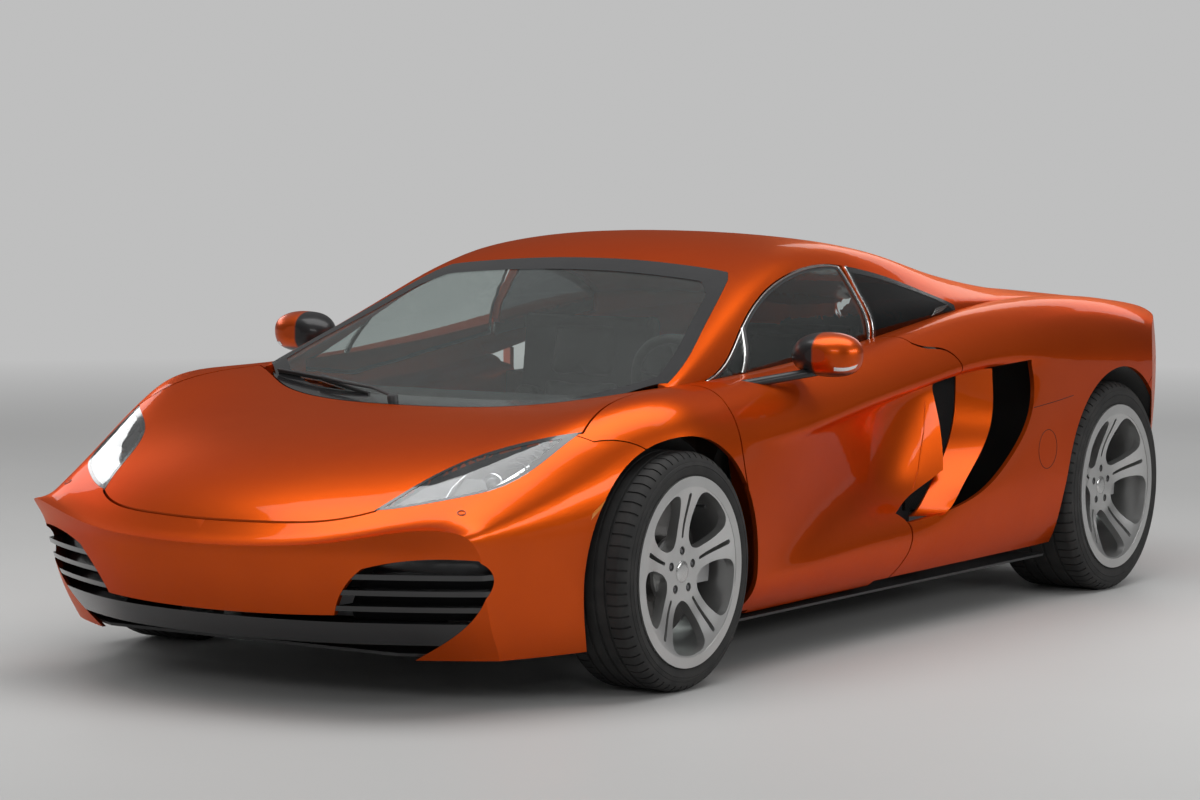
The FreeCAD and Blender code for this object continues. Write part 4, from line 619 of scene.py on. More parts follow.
CAP_SILVER = Finish("bare_silver_cap", (0.60, 0.60, 0.595), (0.54, 0.54, 0.535), metallic=0.9,
                    roughness=0.26, spread=0.06, grain=1400.0, depth=0.00002)
LAMP_BLACK = Finish("lamp_black", (0.010, 0.010, 0.011), (0.016, 0.016, 0.017), roughness=0.30, grain=900.0)
LAMP_GREY = Finish("lamp_grey", (0.12, 0.12, 0.125), (0.08, 0.08, 0.085), metallic=0.7, roughness=0.35,
                   grain=420.0, depth=0.0004)
LENS_DARK = Finish("projector_lens", (0.05, 0.06, 0.07), (0.035, 0.04, 0.05), roughness=0.05, spread=0.02,
                   coat=1.0, grain=300.0, depth=0.00001)
SEAM_BLACK = Finish("seam_shadow", (0.004, 0.004, 0.004), (0.007, 0.007, 0.007), roughness=0.9)

NODE_FINISHES: dict[str, Finish] = {
    "bonnet": PAINT, "front_bumper": PAINT, "fenders": PAINT, "door_left": PAINT, "door_right": PAINT,
    "rear_quarters": PAINT, "rear_bumper": PAINT, "roof": PAINT, "engine_cover": PAINT, "airbrake": PAINT,
    "side_blades": PAINT, "mirror_left": MIRROR_PAINT, "mirror_right": MIRROR_PAINT, "scuttle": GLOSS_BLACK,
    "side_ducts": BLACK_MESH, "windscreen": SCREEN_GLASS, "door_glass_left": SIDE_GLASS,
    "door_glass_right": SIDE_GLASS, "quarter_windows": DARK_GLASS, "rear_window": SIDE_GLASS,
    "headlamps": GLOSS_BLACK, "front_splitter": GLOSS_BLACK, "front_grilles": GLOSS_BLACK,
    "rear_grille": BLACK_MESH, "tail_lamps": RED_LENS, "exhausts": EXHAUST, "undertray": SATIN_BLACK,
    "wheel_arch_liners": LINER_BLACK, "luggage_tub": SATIN_BLACK, "cabin_tub": CARBON,
    "subframes": CAST_ALLOY,
    "engine": ENGINE, "wishbones": CAST_ALLOY, "rear_uprights": CALIPER, "knuckle_front_left": CALIPER,
    "knuckle_front_right": CALIPER, "dashboard": SOFT_PLASTIC, "steering_wheel": LEATHER,
    "seats": LEATHER,
    "tyre_front_left": RUBBER, "tyre_front_right": RUBBER, "tyre_rear_left": RUBBER,
    "tyre_rear_right": RUBBER,
    "rim_front_left": SILVER_FRONT, "rim_front_right": SILVER_FRONT, "rim_rear_left": SILVER_REAR,
    "rim_rear_right": SILVER_REAR,
}


def merged(node: str, keep: Callable[[Vector, Vector], bool]) -> bmesh.types.BMesh:
    """A merged copy of some faces of a CAD node.

    Args:
        node: the CAD node's name.
        keep: picks faces by their normal and middle.

    Returns:
        A mesh of the picked faces.
    """
    bm = bmesh.new()
    bm.from_mesh(NODES[node].data)
    bmesh.ops.remove_doubles(bm, verts=bm.verts, dist=MERGE_DISTANCE)
    bmesh.ops.recalc_face_normals(bm, faces=bm.faces)
    dropped = [f for f in bm.faces if not keep(f.normal, f.calc_center_median())]
    bmesh.ops.delete(bm, geom=dropped, context="FACES")
    return bm


def rims(bm: bmesh.types.BMesh, step: float) -> list[list[Vector]]:
    """The open edges of a sheet as evenly spaced rings, the sheet on their left.

    Args:
        bm: the sheet.
        step: the wanted distance between points.

    Returns:
        A list of rings, the longest first.
    """
    loops = [e.link_loops[0] for e in bm.edges if e.is_boundary]
    following = {loop.vert: loop.link_loop_next.vert for loop in loops}
    rings = []
    while following:
        ring = [next(iter(following))]
        while ring[-1] in following:
            ring.append(following.pop(ring[-1]))
        rings.append(spaced([v.co.copy() for v in ring], step))
    return sorted((r for r in rings if len(r) > SHORTEST_RING), key=len, reverse=True)


def spaced(path: Sequence[Vector], step: float) -> list[Vector]:
    """Points at even distances along a path, the last point left out.

    Args:
        path: the path's corners.
        step: the wanted distance between points.

    Returns:
        The points.
    """
    total = sum((b - a).length for a, b in zip(path, path[1:]))
    count = max(4, round(total / step))
    places, walked, index = [], 0.0, 0
    for k in range(count):
        goal = total * k / count
        while index < len(path) - 2 and walked + (path[index + 1] - path[index]).length < goal:
            walked += (path[index + 1] - path[index]).length
            index += 1
        a, b = path[index], path[index + 1]
        places.append(a.lerp(b, min(1.0, (goal - walked) / max((b - a).length, 1e-9))))
    return places


@dataclass
class Skin:
    """A surface of the car that other pieces lie on."""

    node: str
    keep: Callable[[Vector, Vector], bool] = lambda normal, middle: True
    tree: BVHTree = field(init=False)
    sheet: bmesh.types.BMesh = field(init=False)

    def __post_init__(self) -> None:
        """Reads the sheet from the CAD node."""
        self.sheet = merged(self.node, self.keep)
        self.tree = BVHTree.FromBMesh(self.sheet)

    def lay(self, point: Vector, lift: float) -> Vector:
        """The nearest place on the skin, lifted along its normal."""
        place, normal, _, _ = self.tree.find_nearest(point)
        return place + normal * lift

    def normal(self, point: Vector) -> Vector:
        """The skin's normal nearest to a point."""
        return self.tree.find_nearest(point)[1]

    def path(self, points: Sequence[Vector], lift: float, step: float = 0.008) -> list[Vector]:
        """A line through some points, laid on the skin."""
        fine = spaced(list(points), step) + [points[-1]]
        return [self.lay(p, lift) for p in fine]

    def band(self, ring: Sequence[Vector], low: float, high: float, lift: float, rows: int = 3,
             width_at: Callable[[Vector], float] = lambda point: 1.0) -> bmesh.types.BMesh:
        """A strip along a rim, laid on the skin.

        Args:
            ring: the rim's points, the sheet on their left.
            low: the strip's start, inward from the rim.
            high: the strip's end, inward from the rim.
            lift: the strip's height over the skin.
            rows: the number of rows of faces.
            width_at: a factor on the width at a point.

        Returns:
            The strip's mesh.
        """
        count = len(ring)
        bm = bmesh.new()
        bmesh.ops.create_grid(bm, x_segments=count, y_segments=rows, size=0.5)
        for v in bm.verts:
            index, part = round((v.co.x + 0.5) * count) % count, v.co.y + 0.5
            point = ring[index]
            along = (ring[(index + 1) % count] - ring[index - 1]).normalized()
            inward = self.normal(point).cross(along).normalized()
            reach = low + (high * width_at(point) - low) * part
            v.co = self.lay(point + inward * reach, lift)
        bmesh.ops.remove_doubles(bm, verts=bm.verts, dist=MERGE_DISTANCE)
        return self.outward(bm)

    def patch(self, corners: Sequence[Vector], lift: float, columns: int = 12,
              rows: int = 6) -> bmesh.types.BMesh:
        """A four-cornered panel laid on the skin.

        Args:
            corners: its corners in order round it.
            lift: its height over the skin.
            columns: faces from the first corner to the second.
            rows: faces from the second corner to the third.

        Returns:
            The panel's mesh.
        """
        a, b, c, d = corners
        bm = bmesh.new()
        bmesh.ops.create_grid(bm, x_segments=columns, y_segments=rows, size=0.5)
        for v in bm.verts:
            right, up = v.co.x + 0.5, v.co.y + 0.5
            v.co = self.lay(a.lerp(b, right).lerp(d.lerp(c, right), up), lift)
        return self.outward(bm)

    def outward(self, bm: bmesh.types.BMesh) -> bmesh.types.BMesh:
        """Turns a sheet's faces to the skin's own side.

        Args:
            bm: the sheet.

        Returns:
            The same sheet.
        """
        bmesh.ops.recalc_face_normals(bm, faces=bm.faces)
        agree = sum(f.normal.dot(self.normal(f.calc_center_median())) for f in bm.faces)
        if agree < 0:
            bmesh.ops.reverse_faces(bm, faces=bm.faces)
        return bm


def turned(profile: Profile, centre: Vector, axis: Vector, steps: int = 48) -> bmesh.types.BMesh:
    """A body of revolution.

    Args:
        profile: pairs of a radius and a place along the axis.
        centre: the point that the places are measured from.
        axis: the axis, of length one.
        steps: the number of steps round it.

    Returns:
        The body's mesh.
    """
    bm = bmesh.new()
    across = axis.orthogonal().normalized()
    verts = [bm.verts.new(centre + axis * along + across * radius) for radius, along in profile]
    edges = [bm.edges.new(pair) for pair in zip(verts, verts[1:])]
    bmesh.ops.spin(bm, geom=verts + edges, cent=centre, axis=axis, angle=math.tau, steps=steps,
                   use_merge=True)
    bmesh.ops.remove_doubles(bm, verts=bm.verts, dist=MERGE_DISTANCE / 10)
    bmesh.ops.recalc_face_normals(bm, faces=bm.faces)
    return bm


def thickened(bm: bmesh.types.BMesh, wall: float) -> bmesh.types.BMesh:
    """Gives a sheet a wall behind its face."""
    bmesh.ops.solidify(bm, geom=bm.faces, thickness=wall)
    return bm


class SubAssembly:
    """A part of the car that adds its own pieces."""

    def piece(self, name: str, bm: bmesh.types.BMesh, finish: Finish, body: Body = Body.CHASSIS,
              smooth: float = 40.0) -> bpy.types.Object:
        """Adds a mesh piece to the car.

        Args:
            name: the piece's plain name.
            bm: its mesh, freed here.
            finish: its surface.
            body: the body that it rides on.
            smooth: the angle in degrees above which an edge stays sharp.

        Returns:
            The new object.
        """
        mesh = bpy.data.meshes.new(name)
        bm.to_mesh(mesh)
        bm.free()
        mesh.shade_smooth()
        mesh.set_sharp_from_angle(angle=math.radians(smooth))
        return self.placed(name, mesh, finish, body)

    def placed(self, name: str, data: bpy.types.ID, finish: Finish, body: Body) -> bpy.types.Object:
        """Links a piece, dresses it and lets it ride.

        Args:
            name: the piece's plain name.
            data: its mesh or curve.
            finish: its surface.
            body: the body that it rides on.

        Returns:
            The new object.
        """
        data.materials.append(finish.material())
        made = bpy.data.objects.new(name, data)
        bpy.context.scene.collection.objects.link(made)
        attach(made, body.value)
        LOG.info("%s added in %s", name, finish.name)
        return made

    def line(self, name: str, points: Sequence[Vector], radius: float, finish: Finish,
             body: Body = Body.CHASSIS, closed: bool = False) -> bpy.types.Object:
        """Adds a thin round strip along points.

        Args:
            name: the piece's plain name.
            points: the points along its middle.
            radius: half its thickness.
            finish: its surface.
            body: the body that it rides on.
            closed: whether it joins its own start.

        Returns:
            The new object.
        """
        data = bpy.data.curves.new(name, "CURVE")
        data.dimensions = "3D"
        data.bevel_depth, data.bevel_resolution, data.use_fill_caps = radius, 2, True
        spline = data.splines.new("POLY")
        spline.points.add(len(points) - 1)
        for place, point in zip(spline.points, points):
            place.co = (*point, 1.0)
        spline.use_cyclic_u = closed
        return self.placed(name, data, finish, body)


SIDES = (("left", 1.0), ("right", -1.0))


def on_side(side: float, *places: Place) -> list[Vector]:
    """Points given for the car's left side, on either side."""
    return [Vector((x * side, y, z)) for x, y, z in places]


def door_body(side: float) -> Body:
    """The body of the door on a side."""
    return Body.DOOR_LEFT if side > 0 else Body.DOOR_RIGHT


@dataclass
class Corner:
    """One wheel's place and its tyre's sizes."""

    name: str
    body: Body
    centre: Vector
    side: float
    radius: float
    half: float
    bead: float
    face: float
    lip: float


AXLES = {"front": (0.828, -1.3045, 0.3235, 0.116, 0.242, 0.086, 0.258),
         "rear": (0.7915, 1.3655, 0.3455, 0.149, 0.254, 0.089, 0.271)}
CORNERS = [Corner(axle + "_" + label, Body("wheel_" + axle + "_" + label), Vector((x * side, y, radius)),
                  side, radius, *sizes)
           for axle, (x, y, radius, *sizes) in AXLES.items() for label, side in SIDES]


@dataclass
class Tyre(SubAssembly):
    """A low road tyre: a spun carcass with ribs and cut shoulders.

    Each profile field has pairs: a step out from one of the corner's radii, and a step in from the wall.
    """

    corner: Corner
    pitches: int = 64
    groove_part: float = 0.17
    groove_depth: float = 0.00378
    groove_slant: float = 0.0016
    at_bead: Profile = ((0.0004, 0.0076),)
    at_lip: Profile = ((0.0006, 0.0076), (0.003, 0.0058), (0.0085, 0.0030))
    at_wall: Profile = ((-0.004, 0.0008), (0.0, 0.0004), (0.0012, 0.0018), (0.0034, 0.0018),
                        (0.0046, 0.0006))
    at_tread: Profile = ((-0.029, 0.0030), (-0.0278, 0.0050), (-0.0245, 0.0052), (-0.017, 0.0082),
                         (-0.0105, 0.0130), (-0.0048, 0.0205), (-0.0014, 0.0270), (-0.0002, 0.0330))
    rib: Profile = ((-0.0001, 0.0050), (-0.006, 0.0036), (-0.006, -0.0036), (-0.0001, -0.0050))
    rib_grooves: tuple[float, ...] = (0.62, 0.22)
    crown_inset: float = 0.034
    shoulder_height: float = 0.0175
    smooth: float = 28.0

    def half_profile(self) -> list[tuple[float, float]]:
        """Puts half of the carcass's outline together, from the bead to the middle of the tread.

        Returns:
            Pairs of a radius and a place from the middle.
        """
        c = self.corner
        points = [(start + out, c.half - inset) for start, steps in (
            (c.bead, self.at_bead), (c.lip, self.at_lip), ((c.radius + c.bead) / 2, self.at_wall),
            (c.radius, self.at_tread)) for out, inset in steps]
        for part in self.rib_grooves:
            middle = (c.half - self.crown_inset) * part
            points += [(c.radius + out, middle + along) for out, along in self.rib]
        return points

    def build(self) -> None:
        """Spins the carcass pitch by pitch, then sinks the shoulder grooves."""
        c = self.corner
        half = self.half_profile()
        profile = half + [(radius, -place) for radius, place in reversed(half)]
        bm = bmesh.new()
        verts = [bm.verts.new(c.centre + Vector((place, 0, radius))) for radius, place in profile]
        geometry = verts + [bm.edges.new(pair) for pair in zip(verts, verts[1:] + verts[:1])]
        pitch = math.tau / self.pitches
        groove = pitch * self.groove_part
        shoulders = []
        for _ in range(self.pitches):
            for angle in ((pitch - groove) / 2, (pitch - groove) / 2, groove):
                known = set(bm.faces)
                geometry = bmesh.ops.spin(bm, geom=geometry, cent=c.centre, axis=(1, 0, 0), angle=angle,
                                          steps=1)["geom_last"]
                if angle == groove:
                    shoulders += [f for f in bm.faces if f not in known and self.in_shoulder(f)]
        bmesh.ops.remove_doubles(bm, verts=bm.verts, dist=MERGE_DISTANCE)
        shoulders = [f for f in shoulders if f.is_valid]
        bmesh.ops.recalc_face_normals(bm, faces=bm.faces)
        sunk = bmesh.ops.extrude_face_region(bm, geom=shoulders)["geom"]
        for v in (g for g in sunk if isinstance(g, bmesh.types.BMVert)):
            inward = Vector((0, c.centre.y - v.co.y, c.centre.z - v.co.z)).normalized()
            slant = math.copysign(self.groove_slant, v.co.x - c.centre.x)
            v.co += inward * self.groove_depth - Vector((slant, 0, 0))
        bmesh.ops.delete(bm, geom=[f for f in shoulders if f.is_valid], context="FACES")
        made = self.piece("tyre_" + c.name, bm, RUBBER, c.body, self.smooth)
        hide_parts("tyre_" + c.name)

    def in_shoulder(self, face: bmesh.types.BMFace) -> bool:
        """Tells the faces between the wall's step and the first rib groove.

        Args:
            face: a face of the carcass.

        Returns:
            Whether it lies there.
        """
        c = self.corner
        middle = face.calc_center_median()
        radius = math.hypot(middle.y - c.centre.y, middle.z - c.centre.z)
        away = abs(middle.x - c.centre.x)
        first = (c.half - self.crown_inset) * self.rib_grooves[0] + self.rib[0][1]
        return radius > c.radius - self.shoulder_height and away > first


@dataclass
class WheelParts(SubAssembly):
    """The nuts, the bare cap and the valve of one wheel."""

    corner: Corner
    nuts: int = 5
    nut_circle: float = 0.056
    nut_radius: float = 0.0088
    nut_taper: float = 0.86
    nut_length: float = 0.014
    nut_depth: float = 0.0085
    nut_bevel: float = 0.0009
    bevel_above: float = 0.3
    smooth: float = 30.0
    cap: Profile = ((0.0001, 0.0052), (0.0165, 0.0050), (0.0240, 0.0040), (0.0285, 0.0022), (0.0300, 0.0006),
                    (0.0300, -0.002))
    valve: Profile = ((0.0001, 0.026), (0.0034, 0.026), (0.0040, 0.024), (0.0040, 0.010), (0.0030, 0.009),
                      (0.0030, -0.006))
    valve_radius: float = 0.205
    valve_turn: float = math.radians(36.0)
    valve_depth: float = 0.03

    def build(self) -> None:
        """Adds the small parts on the hub's face."""
        c = self.corner
        axis = Vector((c.side, 0, 0))
        upright = axis.to_track_quat("Z", "Y").to_matrix().to_4x4()
        bm = bmesh.new()
        for k in range(self.nuts):
            place = self.round_hub(math.tau * k / self.nuts, self.nut_circle, self.nut_depth)
            bmesh.ops.create_cone(bm, cap_ends=True, segments=6, radius1=self.nut_radius,
                                  radius2=self.nut_radius * self.nut_taper, depth=self.nut_length,
                                  matrix=Matrix.Translation(place) @ upright)
        rounded = [e for e in bm.edges if abs(e.calc_face_angle(0)) > self.bevel_above]
        bmesh.ops.bevel(bm, geom=rounded, affect="EDGES", offset=self.nut_bevel, segments=2, profile=0.5,
                        material=-1)
        self.piece("wheel_nuts_" + c.name, bm, NUT_STEEL, c.body, self.smooth)
        cap = turned(self.cap, c.centre + axis * c.face, axis)
        self.piece("wheel_cap_" + c.name, cap, CAP_SILVER, c.body, self.smooth)
        foot = self.round_hub(self.valve_turn, self.valve_radius, self.valve_depth)
        stem = turned(self.valve, foot, axis, 16)
        self.piece("valve_" + c.name, stem, SATIN_BLACK, c.body)

    def round_hub(self, turn: float, radius: float, depth: float) -> Vector:
        """Finds a point round the hub.

        Args:
            turn: the angle from straight up.
            radius: the distance from the axle.
            depth: how far it lies behind the hub's face.

        Returns:
            The point.
        """
        c = self.corner
        behind = c.centre + Vector((c.side, 0, 0)) * (c.face - depth)
        return behind + Vector((0, math.sin(turn), math.cos(turn))) * radius


@dataclass
class Headlamps(SubAssembly):
    """The two lamps: a bowl, reflectors, a projector and a clear cover."""

    node: str = "headlamps"
    cover_facing: float = 0.08
    cover_wall: float = 0.0018
    border: float = 0.010
    border_gain: float = 0.9
    gain_behind: float = -1.75
    panel: Places = ((0.482, -2.046, 0.529), (0.600, -1.960, 0.552), (0.590, -1.852, 0.610),
                     (0.520, -1.935, 0.582))
    shelf: Places = ((0.600, -1.960, 0.552), (0.690, -1.885, 0.572), (0.640, -1.835, 0.605),
                     (0.590, -1.852, 0.610))
    split: Places = ((0.600, -1.960, 0.552), (0.588, -1.905, 0.585), (0.590, -1.852, 0.610))
    blade: Places = ((0.672, -1.880, 0.574), (0.728, -1.775, 0.602), (0.752, -1.640, 0.672),
                     (0.738, -1.640, 0.675))
    panel_depth: float = 0.010
    shelf_depth: float = 0.018
    split_depth: float = 0.008
    split_radius: float = 0.0014
    blade_depth: float = 0.012
    ribs: int = 5
    rib_from: Place = (0.690, -1.772, 0.628)
    rib_to: Place = (0.715, -1.672, 0.668)
    rib_reach: float = 0.030
    rib_shrink: float = 0.004
    rib_depth: float = 0.009
    rib_radius: float = 0.0021
    lens_centre: Place = (0.648, -1.812, 0.578)
    lens_axis: Place = (0.12, -0.985, 0.12)
    lens: Profile = ((0.0001, 0.013), (0.00875, 0.0122), (0.01625, 0.0095), (0.022, 0.0050), (0.025, 0.0),
                     (0.025, -0.012))
    collar: Profile = ((0.0256, -0.012), (0.0256, 0.001), (0.0305, 0.006), (0.0325, 0.004),
                       (0.0335, -0.002), (0.0325, -0.020))

    def build(self) -> None:
        """Builds both lamps."""
        bowl = merged(self.node, lambda normal, middle: normal.z < self.cover_facing)
        made = self.piece("headlamp_bowls", bowl, LAMP_BLACK)
        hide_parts(self.node)
        for label, side in SIDES:
            skin = Skin(self.node, lambda normal, middle, side=side: (
                normal.z >= self.cover_facing and middle.x * side > 0))
            self.cover(label, skin)
            self.reflectors(label, side, skin)
            self.projector(label, side)

    def cover(self, label: str, skin: Skin) -> None:
        """Adds the clear cover and its dark border.

        Args:
            label: the side's name.
            skin: the lamp's outer face.
        """
        ring = rims(skin.sheet, 0.006)[0]
        border = skin.band(ring, 0.0, self.border, 0.0004, 2,
                           lambda point: 1.0 + self.border_gain * (point.y > self.gain_behind))
        self.piece("headlamp_border_" + label, border, GLOSS_BLACK)
        glass = thickened(skin.sheet.copy(), self.cover_wall)
        self.piece("headlamp_cover_" + label, glass, LAMP_GLASS)

    def reflectors(self, label: str, side: float, skin: Skin) -> None:
        """Adds the inner panel, the bright lower blade and the ribs outboard of the lens.

        Args:
            label: the side's name.
            side: 1 on the left and -1 on the right.
            skin: the lamp's outer face.
        """
        panel = skin.patch(on_side(side, *self.panel), -self.panel_depth)
        self.piece("headlamp_panel_" + label, panel, LAMP_GREY)
        shelf = skin.patch(on_side(side, *self.shelf), -self.shelf_depth)
        self.piece("headlamp_shelf_" + label, shelf, LAMP_BLACK)
        split = skin.path(on_side(side, *self.split), -self.split_depth)
        self.line("headlamp_split_" + label, split, self.split_radius, CHROME)
        blade = skin.patch(on_side(side, *self.blade), -self.blade_depth, 18, 3)
        self.piece("headlamp_blade_" + label, blade, CHROME)
        turns = [math.radians(15 * step - 60) for step in range(13)]
        for k in range(self.ribs):
            middle = Vector(self.rib_from).lerp(Vector(self.rib_to), k / (self.ribs - 1))
            reach = self.rib_reach - self.rib_shrink * k
            arc = on_side(side, *((middle.x + reach * math.sin(turn), middle.y + reach * math.cos(turn),
                                   middle.z) for turn in turns))
            self.line("headlamp_rib_%s_%d" % (label, k + 1), [skin.lay(p, -self.rib_depth) for p in arc],
                      self.rib_radius, LAMP_GREY)

    def projector(self, label: str, side: float) -> None:
        """Adds the round lens in its bright ring.

        Args:
            label: the side's name.
            side: 1 on the left and -1 on the right.
        """
        centre, axis = on_side(side, self.lens_centre, self.lens_axis)
        lens = turned(self.lens, centre, axis.normalized())
        self.piece("headlamp_lens_" + label, lens, LENS_DARK)
        collar = turned(self.collar, centre, axis.normalized())
        self.piece("headlamp_ring_" + label, collar, CHROME)


@dataclass
class Glazing(SubAssembly):
    """Dark borders and bright strips of the windows, and the wiper."""

    screen_facing: float = 0.25
    screen_border: float = 0.045
    foot_from: float = 0.785
    foot_run: float = 0.05
    foot_gain: float = 1.1
    top_depth: float = 0.16
    top_run: float = 0.10
    top_gain: float = 0.9
    rear_border: float = 0.030
    door_facing: float = 0.35
    side_border: float = 0.011
    trim_radius: float = 0.0032
    trim_lift: float = 0.0014
    divider: tuple[Place, Place] = ((0.783, 0.3509, 0.682), (0.695, 0.3676, 0.784))
    divider_radius: float = 0.0048
    channel_radius: float = 0.0060
    channel_behind: float = 0.012
    quarter_facing: float = 0.30
    quarter_border: float = 0.020
    strip_ahead: float = 0.125
    lines: int = 7
    line_foot: tuple[Place, Place] = ((0.697, 0.500, 0.934), (0.697, 0.575, 0.948))
    line_head: tuple[Place, Place] = ((0.690, 0.540, 0.957), (0.690, 0.625, 0.967))
    line_radius: float = 0.0009
    blade: Places = ((-0.615, -1.118, 0.784), (-0.4452, -1.1396, 0.7712), (-0.2973, -1.1881, 0.7511),
                     (-0.20, -1.222, 0.74))
    rubber_lift: float = 0.0040
    rubber_radius: float = 0.0032
    spine_lift: float = 0.0110
    spine_radius: float = 0.0042
    arm: Places = ((-0.05, -1.312, 0.752), (-0.16, -1.262, 0.770), (-0.31, -1.198, 0.775))
    arm_end: Place = (-0.43, -1.148, 0.770)
    arm_lift: float = 0.017
    arm_radius: float = 0.0060
    pivot: Profile = ((0.0001, 0.016), (0.012, 0.015), (0.016, 0.010), (0.0165, -0.012))
    pivot_place: Place = (-0.05, -1.312, 0.742)
    pivot_axis: Place = (0, -0.2, 0.98)

    def build(self) -> None:
        """Dresses each window."""
        self.screen()
        self.rear_screen()
        for label, side in SIDES:
            self.door_glass(label, side)
            self.quarter_glass(label, side)
        self.wiper()

    def screen_skin(self, node: str) -> Skin:
        """The outer face of a front or rear window."""
        return Skin(node, lambda normal, middle: normal.z > self.screen_facing)

    def screen(self) -> None:
        """Adds the windscreen's black border, wider along its top and foot."""
        skin = self.screen_skin("windscreen")
        top_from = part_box("windscreen")[1][1] - self.top_depth

        def width(point: Vector) -> float:
            """Widens the border near the top and the foot.

            Args:
                point: a point of the rim.

            Returns:
                The factor on the width there.
            """
            foot = max(0.0, min(1.0, (self.foot_from - point.z) / self.foot_run))
            top = max(0.0, min(1.0, (point.y - top_from) / self.top_run))
            return 1.0 + self.foot_gain * foot + self.top_gain * top

        border = skin.band(rims(skin.sheet, 0.010)[0], 0.0, self.screen_border, 0.0005, 4, width)
        self.piece("windscreen_border", border, GLOSS_BLACK)

    def rear_screen(self) -> None:
        """Adds the rear window's black border."""
        skin = self.screen_skin("rear_window")
        border = skin.band(rims(skin.sheet, 0.010)[0], 0.0, self.rear_border, 0.0005, 2)
        self.piece("rear_window_border", border, GLOSS_BLACK)

    def door_glass(self, label: str, side: float) -> None:
        """Adds the seal, the bright strip round it and the front divider.

        Args:
            label: the side's name.
            side: 1 on the left and -1 on the right.
        """
        body = door_body(side)
        skin = Skin("door_glass_" + label, lambda normal, middle: normal.x * side > self.door_facing)
        ring = rims(skin.sheet, 0.008)[0]
        seal = skin.band(ring, 0.0, self.side_border, 0.0006, 2)
        self.piece("door_glass_seal_" + label, seal, SATIN_BLACK, body)
        strip = [skin.lay(p, self.trim_lift) for p in ring]
        self.line("door_glass_strip_" + label, strip, self.trim_radius, STEEL, body, closed=True)
        ends = [share(x * side, s, z) for x, s, z in self.divider]
        self.line("door_glass_divider_" + label, skin.path(ends, 0.0012), self.divider_radius, STEEL, body)
        black = skin.path([end + Vector((0, self.channel_behind, 0)) for end in ends], 0.0004)
        self.line("door_glass_channel_" + label, black, self.channel_radius, SATIN_BLACK, body)

    def quarter_glass(self, label: str, side: float) -> None:
        """Adds the rear side window's border, its strip and the fine lines in its corner.

        Args:
            label: the side's name.
            side: 1 on the left and -1 on the right.
        """
        skin = Skin("quarter_windows", lambda normal, middle: (
            normal.x * side > self.quarter_facing and middle.x * side > 0))
        ring = rims(skin.sheet, 0.008)[0]
        seal = skin.band(ring, 0.0, self.quarter_border, 0.0006, 2)
        self.piece("quarter_window_border_" + label, seal, GLOSS_BLACK)
        front = [skin.lay(p, self.trim_lift) for p in ring if p.y < self.strip_ahead]
        front.sort(key=lambda p: p.z)
        self.line("quarter_window_strip_" + label, front, self.trim_radius, STEEL)
        (foot, foot_end), (head, head_end) = on_side(side, *self.line_foot), on_side(side, *self.line_head)
        for k in range(self.lines):
            part = k / (self.lines - 1)
            path = skin.path([foot.lerp(foot_end, part), head.lerp(head_end, part)], 0.0008)
            self.line("quarter_window_line_%s_%d" % (label, k + 1), path, self.line_radius, STEEL)

    def wiper(self) -> None:
        """Adds the arm from its pivot in the cowl and the blade on the glass."""
        skin = self.screen_skin("windscreen")
        blade = [Vector(p) for p in self.blade]
        self.line("wiper_rubber", skin.path(blade, self.rubber_lift), self.rubber_radius, RUBBER)
        self.line("wiper_spine", skin.path(blade, self.spine_lift), self.spine_radius, SATIN_BLACK)
        arm = [Vector(p) for p in self.arm] + [skin.lay(Vector(self.arm_end), self.arm_lift)]
        self.line("wiper_arm", arm, self.arm_radius, SATIN_BLACK)
        pivot = turned(self.pivot, Vector(self.pivot_place), Vector(self.pivot_axis).normalized(), 24)
        self.piece("wiper_pivot", pivot, SATIN_BLACK)


